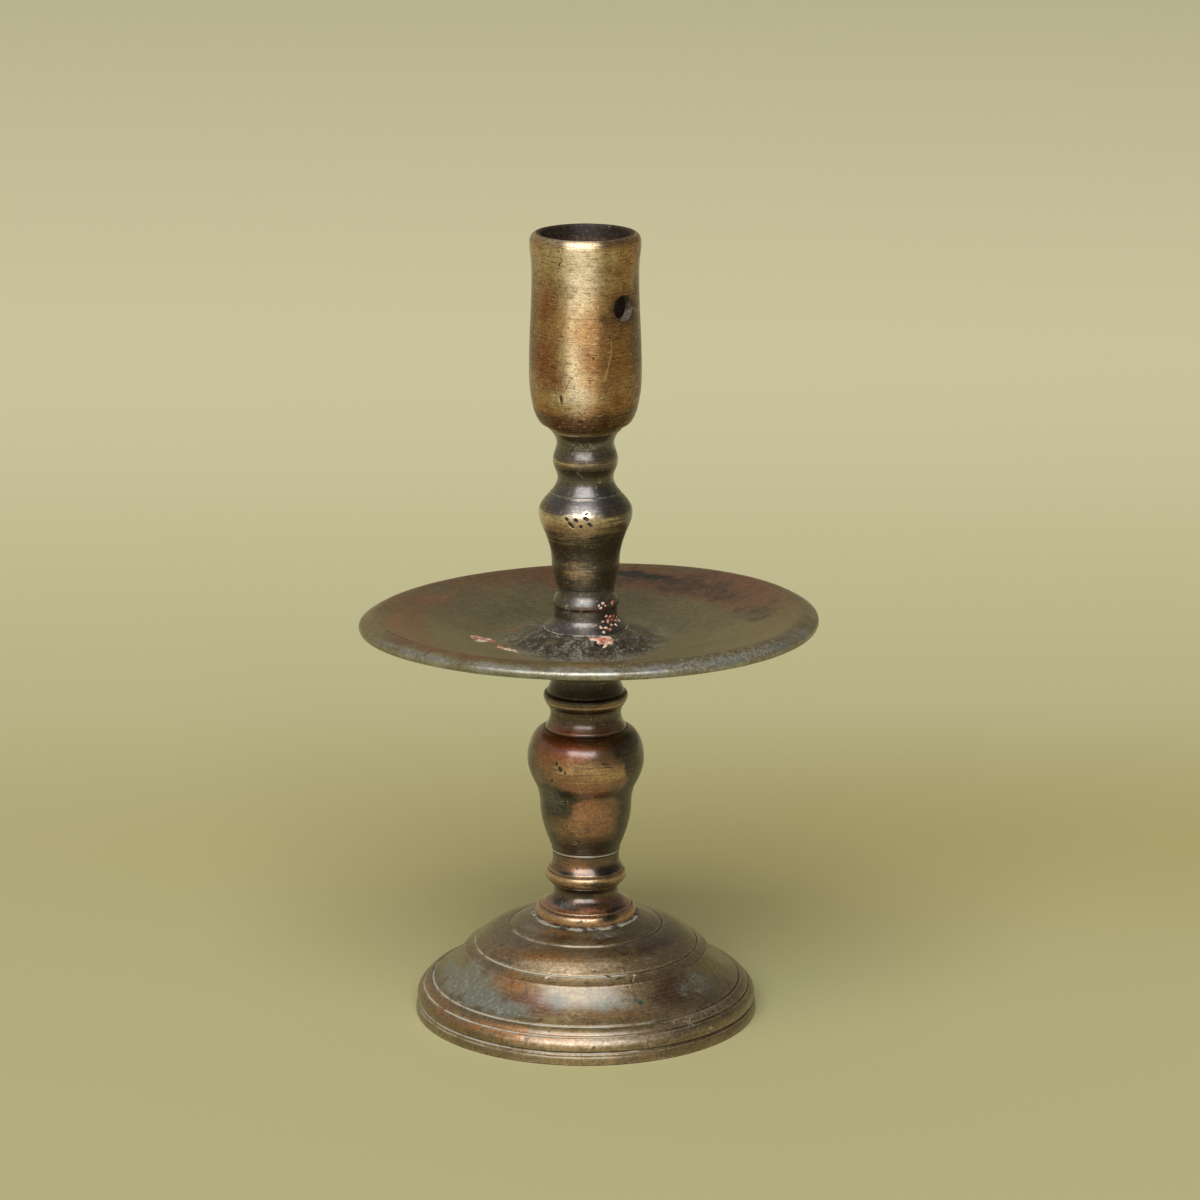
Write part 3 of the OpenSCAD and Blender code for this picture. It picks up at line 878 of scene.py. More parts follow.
def dark_bronze(look, light, dark):
    """Gunmetal black of the upper stem, rubbed gold on its knop and arrises."""
    f = Finish("dark_bronze", look.gunmetal, 0.43, streak=0.3, coat=1.0, haze=0.28, gloss=1.85)
    f.layer(f.stain(0.16, 0.4, 0.65, 0.031), look.black)
    f.layer(f.stain(0.9, 0.46, 0.7, 0.035, 6.0), tone(look.black, 0.85), 0.5, shine=0.7)
    f.layer(f.broken("dark", 0.8, 0.4, 1.2), tone(look.black, 0.7), shine=0.7)
    f.layer(f.broken("red", 0.9, 0.6, 1.2), look.red, 0.3)
    f.layer(f.broken("worn", 1.5, 1.9, 1.0, 0.75), look.pale_gold, 0.36)
    f.grain(1.3, 0.6, 1.25)
    f.layer(f.pits(1.1, 0.4, 0.28, 0.041), tone(look.black, 0.4), 0.5, 0.6)
    rings = f.turning(3.6, 0.1, 0.6)
    f.layer(f.rise(rings, 0.62, 0.95, 0.0, 0.35), look.brown_brass, 0.33)
    f.layer(f.rise(rings, 0.05, 0.34, 0.5, 0.0), tone(look.black, 0.5), 0.4)
    lines = f.scratches((20, 3, 1.0, 0.4, 1.3, 0.2), (-65, 2.5, 1.0, 0.35, 5.9, 0.2))
    f.layer(f.times(lines, 0.55), tone(look.chalk, 0.8), 0.4)
    f.layer(f.times(f.pits(0.9, 0.14, 0.2, 0.047), 0.9), tone(look.chalk, 0.9), 0.6, 0.0)
    f.layer(f.broken("bloom", 1.4, 0.8, 1.6), tone(look.chalk, 0.7), 0.65, 0.1)
    f.layer(f.broken("grime_and_shade", 1.4, 0.6, 1.5), look.soot_and_shade, 0.6, 0.1)
    f.layer(f.times(f.marks(light), 0.55), tone(look.chalk, 0.9), 0.5, 0.2)
    deep = f.marks(dark)
    f.layer(deep, tone(look.soot_and_shade, 0.6), 0.6, 0.2)
    return f.done((deep, -0.2), (rings, 0.01), (lines, -0.02), (f.noise(0.9, 5.0), 0.05))


def red_bronze(look, light, dark):
    """Red-brown bronze of the lower stem, with gold and copper where it is rubbed."""
    f = Finish("red_bronze", look.brown, 0.46, streak=0.2, coat=1.0, haze=0.22, gloss=1.9)
    f.layer(f.stain(0.12, 0.4, 0.62, 0.051), tone(look.brown, 0.6))
    f.layer(f.broken("red", 0.6, 0.5, 1.1, 0.3), look.red)
    f.layer(f.broken("copper", 0.9, 1.1, 1.0, 0.3), look.copper)
    f.layer(f.broken("worn", 1.3, 1.6, 1.0, 0.7), look.gold, 0.42)
    f.layer(f.broken("dark", 0.9, 0.9, 1.0, 0.3), tone(look.black, 0.55), 0.4, shine=0.55)
    f.grain(1.2, 0.62, 1.25)
    f.layer(f.pits(1.2, 0.4, 0.3, 0.061), tone(look.black, 0.45), 0.5, 0.6)
    rings = f.turning(3.4, 0.12, 0.8)
    f.layer(f.rise(rings, 0.64, 0.95, 0.0, 0.3), look.copper, 0.33)
    f.layer(f.rise(rings, 0.05, 0.36, 0.4, 0.0), tone(look.black, 0.6), 0.4)
    lines = f.scratches((2, 5, 0.9, 0.25, 2.3, 0.25), (70, 2.5, 1.2, 0.12, 8.9, 0.2))
    f.layer(f.times(lines, 0.4), tone(look.chalk, 0.7), 0.4)
    f.layer(f.times(f.pits(0.9, 0.1, 0.18, 0.067), 0.8), tone(look.chalk, 0.8), 0.6, 0.0)
    f.layer(f.broken("bloom", 1.2, 0.8, 1.2, 0.3), tone(look.bloom, 0.5), 0.6, 0.1)
    f.layer(f.broken("grime_and_shade", 1.3, 0.6, 1.5), look.soot_and_shade, 0.6, 0.1)
    f.layer(f.broken("chalk", 1.0, 0.3, 1.4), tone(look.chalk, 0.75), 0.6, 0.1)
    f.layer(f.times(f.marks(light), 0.6), tone(look.chalk, 0.9), 0.5, 0.2)
    deep = f.marks(dark)
    f.layer(deep, tone(look.soot_and_shade, 0.8), 0.6, 0.2)
    return f.done((deep, -0.12), (rings, 0.012), (lines, -0.018), (f.noise(0.8, 5.0), 0.05))


def pan_bronze(look):
    """Green-brown film of the drip pan, red towards its rim, with swirled scratches."""
    f = Finish("pan_bronze", look.pan, 0.42, 0.7, coat=0.55, haze=0.32, gloss=1.65)
    f.layer(f.stain(0.05, 0.4, 0.64, 0.071), tone(look.pan, 0.75))
    f.layer(f.broken("red", 0.25, 0.4, 1.0), look.pan_red)
    f.layer(f.broken("copper", 0.5, 0.6, 1.0), tone(look.orange, 0.7))
    f.layer(f.broken("dark", 0.4, 0.5, 1.1), tone(look.black, 0.7), shine=0.4)
    f.layer(f.broken("worn", 1.8, 1.4, 0.9, 0.3), look.lip, 0.38, 0.8)
    f.grain(0.7, 0.72, 1.3)
    swirl = f.turning(1.6, 2.4, 0.9)
    f.layer(f.rise(swirl, 0.62, 0.95, 0.0, 0.3), tone(look.pan, 1.5))
    lines = f.scratches((12, 7, 0.7, 0.3, 4.3, 0.2), (-52, 4, 1.1, 0.25, 9.1, 0.2))
    f.layer(f.times(lines, 0.3), tone(look.chalk, 0.6), 0.45)
    f.layer(f.times(f.pits(1.1, 0.2, 0.2, 0.09), 0.7), tone(look.chalk, 0.8), 0.6, 0.1)
    f.layer(f.broken("bloom", 1.4, 1.1, 1.2), tone(look.chalk, 0.5), 0.6, 0.2)
    f.layer(f.broken("grime_and_shade", 1.2, 0.6, 1.5), look.soot_and_shade, 0.6, 0.1)
    return f.done((swirl, 0.012), (lines, -0.014), (f.noise(0.5, 5.0), 0.07))


def olive_brass(look, light, dark):
    """Olive and brown brass of the foot, clouded with grey-green bloom."""
    f = Finish("olive_brass", look.olive, 0.59, streak=0.3, coat=0.85, haze=0.27, gloss=1.85)
    f.layer(f.stain(0.06, 0.38, 0.64, 0.101), tone(look.olive, 0.66))
    f.layer(f.broken("copper", 0.4, 0.8, 1.0, 0.3), look.amber)
    f.layer(f.broken("red", 0.35, 0.7, 1.0, 0.3), look.brown)
    f.layer(f.broken("worn", 0.9, 1.2, 1.0, 0.6), tone(look.pale_gold, 0.92))
    f.layer(f.broken("dark", 0.5, 0.7, 1.0, 0.2), tone(look.brown, 0.6))
    f.layer(f.stain(0.45, 0.52, 0.78, 0.111, 6.0), tone(look.brown, 0.65), 0.5)
    f.grain(1.1, 0.64, 1.28)
    rings = f.turning(2.4, 0.2, 0.7)
    f.layer(f.rise(rings, 0.64, 0.95, 0.0, 0.3), tone(look.gold, 0.9))
    f.layer(f.rise(rings, 0.05, 0.34, 0.35, 0.0), tone(look.brown, 0.6))
    f.layer(f.pits(0.9, 0.4, 0.26, 0.115), tone(look.black, 0.6), 0.5, 0.6)
    lines = f.scratches((8, 5, 0.8, 0.45, 6.3, 0.22), (-48, 3, 0.9, 0.35, 2.9, 0.2))
    f.layer(f.times(lines, 0.55), tone(look.chalk, 0.75), 0.4)
    f.layer(f.times(f.pits(0.8, 0.1, 0.18, 0.117), 0.8), tone(look.chalk, 0.85), 0.6, 0.0)
    cloud = f.broken("bloom", 0.5, 1.2, 0.9, 0.35)
    f.layer(f.times(cloud, 0.75), tone(look.bloom, 0.62), 0.5, 0.3)
    f.layer(f.times(cloud, f.stain(1.1, 0.46, 0.74, 0.119, 6.0)), tone(look.bloom, 0.95), 0.6, 0.2)
    f.layer(f.broken("grime_and_shade", 1.2, 0.7, 1.4), look.soot_and_shade, 0.6, 0.1)
    f.layer(f.broken("chalk", 1.0, 0.3, 1.6), tone(look.chalk, 0.85), 0.6, 0.1)
    f.layer(f.broken("green", 2.2, 1.3, 1.3), tone(look.verdigris, 0.22), 0.6, 0.0)
    f.layer(f.times(f.marks(light), 0.6), tone(look.chalk, 0.95), 0.5, 0.2)
    deep = f.marks(dark)
    f.layer(deep, tone(look.soot_and_shade, 0.8), 0.6, 0.2)
    return f.done((deep, -0.12), (rings, 0.014), (lines, -0.018), (f.noise(0.6, 5.0), 0.06))


def dull_steel(look):
    """Dull steel of the washer and the nut, with rust-brown stains."""
    f = Finish("dull_steel", look.steel, 0.42, 0.9)
    f.layer(f.stain(0.3, 0.45, 0.65, 0.121), look.brown, 0.6, 0.3)
    f.grain(1.0, 0.8, 1.2)
    lines = f.scratches((15, 3, 0.6, 0.4, 1.7))
    f.layer(f.times(lines, 0.5), tone(look.steel, 1.5), 0.35)
    return f.done((lines, -0.02), (f.noise(1.2, 4.0), 0.04))


def old_wax(look):
    """Old candle wax, pink to nearly white."""
    f = Finish("old_wax", look.wax, 0.5, 0.0)
    f.layer(f.stain(0.5, 0.4, 0.6, 0.131), look.pink_wax, 0.45)
    f.layer(f.stain(1.2, 0.52, 0.66, 0.141), tone(look.red, 0.8), 0.6)
    f.fill(f.pins, {"Subsurface Weight": 0.15, "Subsurface Radius": (0.6, 0.3, 0.2), "Subsurface Scale": MM})
    return f.done((f.noise(1.4, 4.0), 0.12))


def joint_dirt(look):
    """Light grey dirt packed into the joints."""
    f = Finish("joint_dirt", tone(look.chalk, 0.7), 0.75, 0.0)
    f.layer(f.stain(0.35, 0.46, 0.62, 0.151), tone(look.soot_and_shade, 1.6), 0.7)
    f.layer(f.stain(1.6, 0.54, 0.7, 0.161), tone(look.brown, 0.5), 0.8)
    return f.done((f.noise(2.2, 5.0), 0.15))


# The pieces
#
# What age has put on each mask is in tables. A patch is (spot, half width, half height, amount, raggedness),
# where a spot is (direction, height, radius), and a band is (height, half width, amount, raggedness, radius).
# A dent is (spot, half width, half height, depth, roll, rim), and a mark is (start, end, width).


def turned_piece(node, columns, step, seed, interest=everywhere):
    """Grid of a turned piece with its arrises rubbed, a little uneven and out of round."""
    turning = Turning(node, columns, step, seed, wear().rub / MM, interest)
    wobble = wear().wobble / MM
    turning.shift += wobble * rough_noise(turning.places, 14.0, seed)
    turning.shift += 0.3 * wobble * lattice_noise(turning.places, 2.2, seed + 7)
    return turning


FOOT_AGE = {
    # Gold rubbed above the dome line and along the roll, at the front, where it is partly a painted
    # highlight
    "worn": (
        ((-92, 20, 26.5), 18, 2.6, 0.4, 1.0), ((-120, 19.4, 27.5), 12, 2.4, 0.35, 0.9),
        ((-84, 5.4, 43.2), 30, 1.7, 0.35, 0.9), ((-40, 7.9, 40.5), 18, 1.4, 0.4, 0.7),
    ),
    # Orange and red-brown on the skirt, left of the front, on the crown and on the roll
    "copper": (
        ((-126, 15, 32), 9, 3.6, 0.75, 0.8), ((-150, 7, 41.4), 30, 3.4, 0.5, 0.8),
        ((-118, 21, 24.6), 12, 3.4, 0.5, 0.8), ((-126, 24.4, 16), 7, 2, 0.7, 0.8),
        ((-140, 20, 26), 10, 3, 0.4, 0.8), ((-105, 6.5, 42.6), 24, 2, 0.55, 0.8),
    ),
    "red": (
        ((-112, 12.5, 34.5), 10, 4, 0.9, 0.7), ((-78, 11, 36.5), 15, 3, 0.5, 0.9),
        ((-150, 4, 43.4), 26, 2.4, 0.5), ((-60, 16, 31), 12, 3, 0.4, 0.9),
    ),
    # Grey-green bloom on the skirt, left and right, and grey dirt on the crown
    "bloom": (
        ((-146, 12.2, 34.6), 11, 5, 1.0, 0.8), ((-128, 10.4, 37), 12, 2.4, 0.7, 0.9),
        ((-168, 12.4, 34.5), 12, 5, 0.8, 0.7), ((-126, 10.4, 37), 9, 2.6, 0.6, 0.9),
        ((-101, 13.4, 33.6), 4, 3.6, 0.9, 0.7), ((-84, 12.6, 34.6), 5, 2.2, 0.4, 0.9),
        ((-34, 13, 34), 7, 4, 0.7, 0.8), ((60, 14, 33), 12, 4, 0.6, 0.9), ((130, 12, 35), 10, 4, 0.6, 0.9),
        ((-70, 24.6, 15.6), 7, 1.6, 0.6, 1.0), ((-150, 24.4, 16.4), 9, 1.6, 0.55, 1.0),
        ((-74, 12.8, 34.6), 7, 3, 0.45, 1.0),
    ),
    # Dark cloud on the crown, and dark at the right, partly tarnish and partly painted shade on the side
    # away from the light
    "dark": (
        ((-96, 24.2, 16.8), 14, 1.8, 0.75, 1.0), ((-40, 22, 22), 11, 3.4, 0.75, 0.8),
        ((-46, 13, 34), 14, 5, 0.8, 0.8), ((-75, 17.6, 29.4), 6, 1.4, 0.4, 1.0),
        ((-20, 8, 40), 16, 3, 0.5, 0.8), ((-22, 2, 43.9), 16, 2, 0.6),
    ),
    "green": (
        ((-66.0, 12.2, 34.6), 0.9, 0.8, 1.2, 0.9), ((-67.8, 12.8, 34.2), 0.8, 1.2, 0.7, 1.0),
        ((-70.5, 13.2, 34), 3.0, 0.9, 0.45, 1.2), ((-85.2, 2.2, 43.6), 1.2, 0.9, 0.62, 0.9),
    ),
}
FOOT_DENTS = (
    ((-109.4, 17.5, 29.4), 0.75, 0.35, 0.22, 40), ((-145.8, 8.7, 39.3), 1.1, 0.25, 0.22, 25),
    ((-110.7, 6.0, 42.9), 0.9, 0.3, 0.18, 35), ((-50.8, 7.4, 41.7), 1.6, 0.25, 0.2, -20),
    ((-44, 4.2, 43.6), 0.9, 0.3, 0.18, 50), ((-15.8, 9.4, 38.5), 0.5, 0.4, 0.2),
    ((-66, 17.4, 29.6), 0.9, 0.35, 0.2, 60),
)
FOOT_LIGHT_MARKS = (
    ((-147.8, 8.0, 39.8), (-143.8, 9.4, 38.6), 0.3), ((-147, 9.6, 38.4), (-144.4, 7.8, 40), 0.26),
    ((-111, 16.8, 30.2), (-108.2, 18.1, 28.7), 0.26), ((-67.2, 16.4, 30.6), (-64.8, 18.2, 28.8), 0.3),
    ((-52.6, 7.9, 41.1), (-49.2, 6.7, 42.3), 0.3), ((-52.2, 6.4, 42.5), (-49.8, 8.2, 40.8), 0.26),
    ((-45.6, 3.2, 43.7), (-43.2, 5.2, 43.3), 0.24), ((-72, 19.6, 27), (-69.4, 18.7, 28.2), 0.24),
    ((-126, 9.4, 38.4), (-123, 9.9, 37.8), 0.2), ((-98, 10.6, 37), (-95.4, 9.9, 37.8), 0.2),
)
FOOT_DARK_MARKS = (
    ((-80, 18.2, 28.6), (-76, 18.0, 28.9), 0.5), ((-74.6, 17.5, 29.4), (-71, 17.7, 29.2), 0.45),
    ((-16.6, 9.4, 38.5), (-15.2, 9.4, 38.5), 0.6), ((-86, 19, 27.8), (-84.4, 19.3, 27.4), 0.4),
)


def faces_under(out, up):
    """Where the foot faces down or inwards."""
    return (up < -0.15) | (out < -0.3)


class CANDLESTICK_OT_foot(bpy.types.Operator):
    """Add the foot: a hollow dome on a skirt, with scribed lines and a roll at its edge"""

    bl_idname = "candlestick.foot"
    bl_label = "Foot"

    def execute(self, context):
        def interest(r, z, out, up):
            return np.where(r < 5, 0.15, np.where(faces_under(out, up), 0.4, 1.0))

        foot = turned_piece("foot", 400, 0.38, 11, interest)
        masks = foot.masks
        # The edge that it stands on stays level
        foot.shift *= smooth_step(0, 1.5, foot.z)[:, None]
        foot.age(arris=0.4, groove=0.9)
        under = faces_under(*foot.facing.T)
        masks["dark"][under] += 0.9
        masks["grime_and_shade"][under] *= 0.3
        # The scribed lines are light with dirt at the left and the front; at the right they are painted dark
        # instead, as painted shade on the side away from the light
        left = smooth_step(0.75, -0.15, np.cos(foot.angle))[None, :]
        masks["chalk"] = np.maximum(masks["grime_and_shade"] * 1.8 - 0.6, 0) * left * (1.2 + 0.4 * foot.ragged)
        masks["chalk"] *= smooth_step(26, 19, foot.z)[:, None] * 0.7 + 0.3
        masks["grime_and_shade"] *= 1 - 0.9 * left
        foot.paint(FOOT_AGE)
        for dent in FOOT_DENTS:
            foot.dent(*dent)
        foot.scatter(90, 3, 24, 0.32, 0.1, 3)
        finish = olive_brass(look(), foot.marks(FOOT_LIGHT_MARKS), foot.marks(FOOT_DARK_MARKS))
        foot.piece("foot_shell", finish, "olive_brass")
        return {"FINISHED"}


HEX_SIDES = 6
NUT_COLUMNS = 20 * HEX_SIDES
NUT_THREAD_ROWS, NUT_THREAD_DEPTH = 25, 0.25
# Width of the nut's chamfer across the flats, and its rise over its width
CHAMFER, CHAMFER_SLOPE = 0.9, 0.55


class CANDLESTICK_OT_fixings(bpy.types.Operator):
    """Add the washer and the chamfered nut under the foot"""

    bl_idname = "candlestick.fixings"
    bl_label = "Washer and Nut"

    def execute(self, context):
        steel = dull_steel(look())
        turned_piece("foot_washer", 96, 0.35, 21).piece("washer_ring", steel, "dull_steel")
        placed("hex_nut", self.nut(), steel, "foot_nut")
        return {"FINISHED"}

    def nut(self):
        """Six-sided nut with chamfered corners and a threaded hole."""
        low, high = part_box("foot_nut")
        bottom, top = low.z / MM, high.z / MM
        flat_r = min(high.x, high.y) / MM
        face_r = flat_r / math.cos(math.pi / HEX_SIDES) - CHAMFER
        hole_r = min(math.hypot(*v.co.xy) for v in frame["nodes"]["foot_nut"].data.vertices) / MM
        # The CAD nut has a corner on the X axis
        angle = 2 * np.pi * np.arange(NUT_COLUMNS) / NUT_COLUMNS
        side = flat_r / np.cos(angle % (2 * np.pi / HEX_SIDES) - np.pi / HEX_SIDES)
        heights = np.linspace(top, bottom, NUT_THREAD_ROWS)
        rows = [(hole_r + NUT_THREAD_DEPTH * (i % 2), height) for i, height in enumerate(heights)]
        rows += [((hole_r + face_r) / 2, bottom), (face_r, bottom)]
        shares = (0.25, 0.5, 0.75, 1.0)
        for end, sign, steps in ((bottom, 1, shares), (top, -1, shares[::-1])):
            for share in steps:
                radius = np.minimum(side, face_r + CHAMFER * share)
                rows.append((radius, end + sign * CHAMFER_SLOPE * np.maximum(radius - face_r, 0)))
        rows += [(face_r, top), ((hole_r + face_r) / 2, top)]
        x, y = np.cos(angle), np.sin(angle)
        grid = [np.stack([radius * x, radius * y, height + 0 * x], 1) for radius, height in rows]
        return ring_mesh("hex_nut", np.stack(grid))


LOWER_STEM_AGE = {
    # Red belly, gold bands and a chalky line in the thin ring under the vase
    "red": (((-135, 73, 14.5), 9, 6, 0.9), (74.5, 5, 0.4, 0.9)),
    "copper": (
        (28.5, 2.4, 0.75, 1.0), (26.3, 1.8, 0.75, 1.0), (41, 3.4, 0.2, 0.9), (66, 7, 0.35, 0.8),
        ((-92, 56, 11.7), 11, 9, 0.75, 0.5), ((-112, 40.5, 9), 3, 3, 0.4, 0.9),
    ),
    "worn": (
        ((-86, 67.4, 14.8), 14, 3.2, 0.5, 0.5), ((-50, 66.4, 14.5), 10, 2.6, 0.4, 0.5),
        ((-104, 52, 11.7), 3.5, 4, 0.5, 0.9), (37.4, 0.9, 0.75), (83.1, 0.3, 0.95, 1.4),
        ((-90, 26.6, 12.6), 14, 1, 0.6), ((-105.3, 67.8), 0.9, 0.9, 1.0, 0.1),
    ),
    "chalk": ((43.2, 0.28, 0.75, 0.6),),
    # Specks on the roll and the bell, dark necks, and dark sides on the vase and the belly: a dark
    # stain at the left, and painted shade towards both edges
    "dark": (
        ((-62, 27.4), 3, 1.1, 0.9, 1.0), ((-82, 30.4), 4, 0.8, 0.9, 1.0), ((-112, 29.6), 3, 0.8, 0.9, 1.0),
        ((-44, 29), 4, 1.4, 0.9, 1.0), ((-136, 30.4), 3, 1, 0.9, 1.0), ((-97, 27), 1.6, 0.6, 0.9, 1.0),
        ((-75, 36.2), 3, 0.7, 0.9, 1.0), ((-120, 38.6), 2.4, 0.6, 0.9, 1.0), ((-50, 39), 3, 1.2, 0.9, 1.0),
        ((-88, 33.4), 4, 1, 0.9, 1.0), (84.9, 0.9, 0.8), (86.4, 1.2, 0.6), (80.6, 3, 0.7), (90, 7, 1.1),
        (60.4, 1.8, 0.5), (45.4, 2, 0.7), (48, 1.5, 0.45, 0.9), (33.5, 2.4, 0.6), (41, 3, 0.3, 1.2),
        ((-130, 58, 11.7), 5.5, 7, 1.0, 0.6), ((-22, 58, 12), 5, 18, 1.0, 0.5),
        ((-36, 55, 11.7), 4, 12, 0.5, 0.8), ((-28, 71, 14.5), 9, 7, 1.0, 0.6),
        ((-162, 60, 12.5), 5, 16, 0.9, 0.6), ((90, 56, 11.7), 14, 9, 0.5, 0.9),
    ),
    "bloom": (((-133.4, 58.6), 3.4, 5, 0.42, 0.8), ((-118, 31.4, 11), 3, 1.8, 0.6, 0.9)),
}
LOWER_STEM_DENTS = (
    ((-115.7, 68.2), 0.75, 0.9, 0.16), ((-119.8, 69.3), 0.5, 0.6, 0.14), ((-110.5, 67.2), 0.45, 0.6, 0.12),
    ((-125.8, 64.8), 0.6, 0.45, 0.12), ((-131, 61), 0.5, 0.4, 0.12),
    ((-105.5, 47.7), 1.5, 0.45, 0.18, 0, 0.6),
)
LOWER_STEM_LIGHT_MARKS = (
    ((-110.5, 47.9), (-101, 47.5), 0.22), ((-110, 46.9), (-103, 47.1), 0.2),
    ((-122, 58.6), (-116, 58.8), 0.16), ((-113, 59.2), (-111.5, 58), 0.18),
    ((-104.6, 67.0), (-101.2, 68.8), 0.3), ((-137, 59.6), (-133, 59.4), 0.16),
    ((-112, 30.8), (-106, 30.2), 0.2), ((-76, 90.4), (-74, 89.6), 0.16),
)
LOWER_STEM_DARK_MARKS = (
    ((-117.2, 68.9), (-114.2, 67.5), 0.9), ((-120.4, 69.8), (-118.8, 68.8), 0.6),
    ((-111.4, 67.4), (-109.8, 67.0), 0.5), ((-126.4, 65), (-125, 64.6), 0.45),
    ((-74, 70), (-66, 69.4), 0.4), ((-72, 68.8), (-60, 68.4), 0.2),
)
THREAD_PITCH, THREAD_DEPTH = 1.25, 0.22


class CANDLESTICK_OT_lower_stem(bpy.types.Operator):
    """Add the lower stem: roll, bell, bead, vase and neck, with its threaded tenon"""

    bl_idname = "candlestick.lower_stem"
    bl_label = "Lower Stem"

    def execute(self, context):
        nut_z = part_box("foot_nut")[1].z / MM

        def interest(r, z, out, up):
            return np.where((r < 4.4) & (z > nut_z), 0.12, 1.0)

        stem = turned_piece("lower_stem", 208, 0.31, 31, interest)
        # Thread on the end of the tenon
        turns = stem.angle[None, :] / (2 * np.pi) - stem.z[:, None] / THREAD_PITCH
        threaded = (stem.z < nut_z) & (stem.r > 3.5) & (stem.facing[:, 0] > 0.7)
        stem.shift -= THREAD_DEPTH * (0.5 - 0.5 * np.cos(2 * np.pi * turns)) * threaded[:, None]
        stem.age(arris=0.7, groove=0.8)
        stem.masks["worn"] *= smooth_step(90, 70, stem.z)[:, None] * 0.75 + 0.25
        stem.paint(LOWER_STEM_AGE)
        for dent in LOWER_STEM_DENTS:
            stem.dent(*dent)
        stem.scatter(70, 27, 90, 0.3, 0.09, 5)
        finish = red_bronze(look(), stem.marks(LOWER_STEM_LIGHT_MARKS), stem.marks(LOWER_STEM_DARK_MARKS))
        piece = stem.piece("lower_baluster", finish, "red_bronze")
        if piece.dimensions.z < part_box("foot")[1].z:
            raise RuntimeError("the lower stem is shorter than the foot")
        return {"FINISHED"}


HUB_R = 19.8
PAN_AGE = {
    "bloom": (((-50, 104, 56), 26, 2.4, 0.4, 1.5), ((-96, 98.6, 21), 16, 3.4, 0.35, 1.1)),
    "red": (
        ((-172, 104, 45), 20, 6, 0.75, 0.8), ((-146, 105, 51), 26, 4, 0.6, 0.8),
        ((-130, 105.6, 54), 24, 2.4, 0.6, 0.8), ((58, 104, 45), 34, 7, 0.8, 0.8),
    ),
    "dark": (
        ((54, 104, 45), 34, 6, 0.55, 1.0), ((68, 104, 47.4), 6, 1.5, 0.9, 0.8),
        ((82, 104, 48.4), 8, 1.4, 0.6, 0.9), ((8, 103, 44), 8, 5, 0.4, 1.0),
        ((-150, 106, 53.5), 22, 0.8, 0.6, 0.9),
    ),
    "copper": (
        ((-168, 105, 49), 18, 3, 0.6, 1.0), ((-140, 105.4, 51), 12, 2, 0.4, 1.0),
        ((150, 104, 46), 10, 4, 0.4, 0.9), ((150, 99, 20.6), 6, 1.4, 0.75, 1.1),
        ((12, 103, 43), 6, 3, 0.35, 0.9),
    ),
}


class CANDLESTICK_OT_drip_pan(bpy.types.Operator):
    """Add the drip pan: a shallow dish, bent a little by use, with a rounded lip"""

    bl_idname = "candlestick.drip_pan"
    bl_label = "Drip Pan"

    def execute(self, context):
        def interest(r, z, out, up):
            return np.where(r < 9.5, 0.2, np.where(up < -0.2, 0.55, 1.0))

        def within(low, high):
            return smooth_step(low, high, pan.r)[:, None]

        pan = turned_piece("drip_pan", 416, 0.42, 41, interest)
        masks = pan.masks
        lip_r = pan.r.max()
        # The dish is bent beyond its raised middle, and its lip is warped two ways
        way = np.clip((pan.r - HUB_R) / (lip_r - HUB_R), 0, 1)
        sin, cos = np.sin(pan.angle), np.cos(pan.angle)
        tilt = math.tan(wear().pan_right) * cos - math.tan(wear().pan_front) * sin
        warp = wear().pan_warp / MM * np.cos(2 * pan.angle - 1.666)
        pan.lift += np.outer(way * lip_r, tilt) + np.outer(way ** 2, warp)
        pan.slide = way * wear().pan_shift / MM
        pan.age(arris=0.0, groove=0.8)
        # The lip is rubbed grey, on a thin line at the left and wider towards the right, and thickest at
        # the front, where the grey is also a painted highlight
        front = smooth_step(0.55, 0.95, 0.5 - 0.5 * sin)
        right = smooth_step(0.2, 0.8, 0.5 + 0.5 * cos)
        back = smooth_step(0.35, 0.75, 0.5 + 0.5 * sin)
        masks["worn"] += within(lip_r - 2.6, lip_r - 0.8) * (0.14 + 0.6 * front) * (0.8 + 0.9 * pan.ragged)
        masks["worn"] += within(lip_r - 7.0, lip_r - 2.0) * 0.26 * right * (0.8 + 1.6 * pan.ragged)
        # Red towards the rim, most at the back
        inside = (pan.facing[:, 1] > 0.2)[:, None]
        cloud = 0.6 + 0.9 * rough_noise(pan.places, 16.0, 77)
        masks["red"] += inside * within(32, 50) * (0.3 + 0.7 * back) * cloud
        # The raised middle is dark and rough, and dirty against the stem
        scuffs = 0.28 + 0.5 * rough_noise(pan.places, 1.6, 78, 4)
        masks["dark"] += within(25, 14) * inside * (0.8 + 0.6 * pan.ragged)
        masks["bloom"] += within(27, 20) * inside * scuffs
        masks["dark"][pan.facing[:, 1] < -0.2] += 0.35
        pan.paint(PAN_AGE)
        rng = np.random.default_rng(43)
        for _ in range(46):
            spot = (rng.uniform(-180, 180), rng.uniform(103, 105), lip_r - rng.uniform(0.2, 2.6))
            pan.dent(spot, rng.uniform(0.4, 1.2), rng.uniform(0.25, 0.5), 0.12, rng.uniform(-60, 60))
        for _ in range(40):
            spot = (rng.uniform(-180, 180), 101, rng.uniform(22, 52))
            pan.dent(spot, rng.uniform(0.3, 0.8), rng.uniform(0.2, 0.5), 0.08, rng.uniform(-90, 90))
        pan.piece("pan_dish", pan_bronze(look()), "pan_bronze")
        return {"FINISHED"}


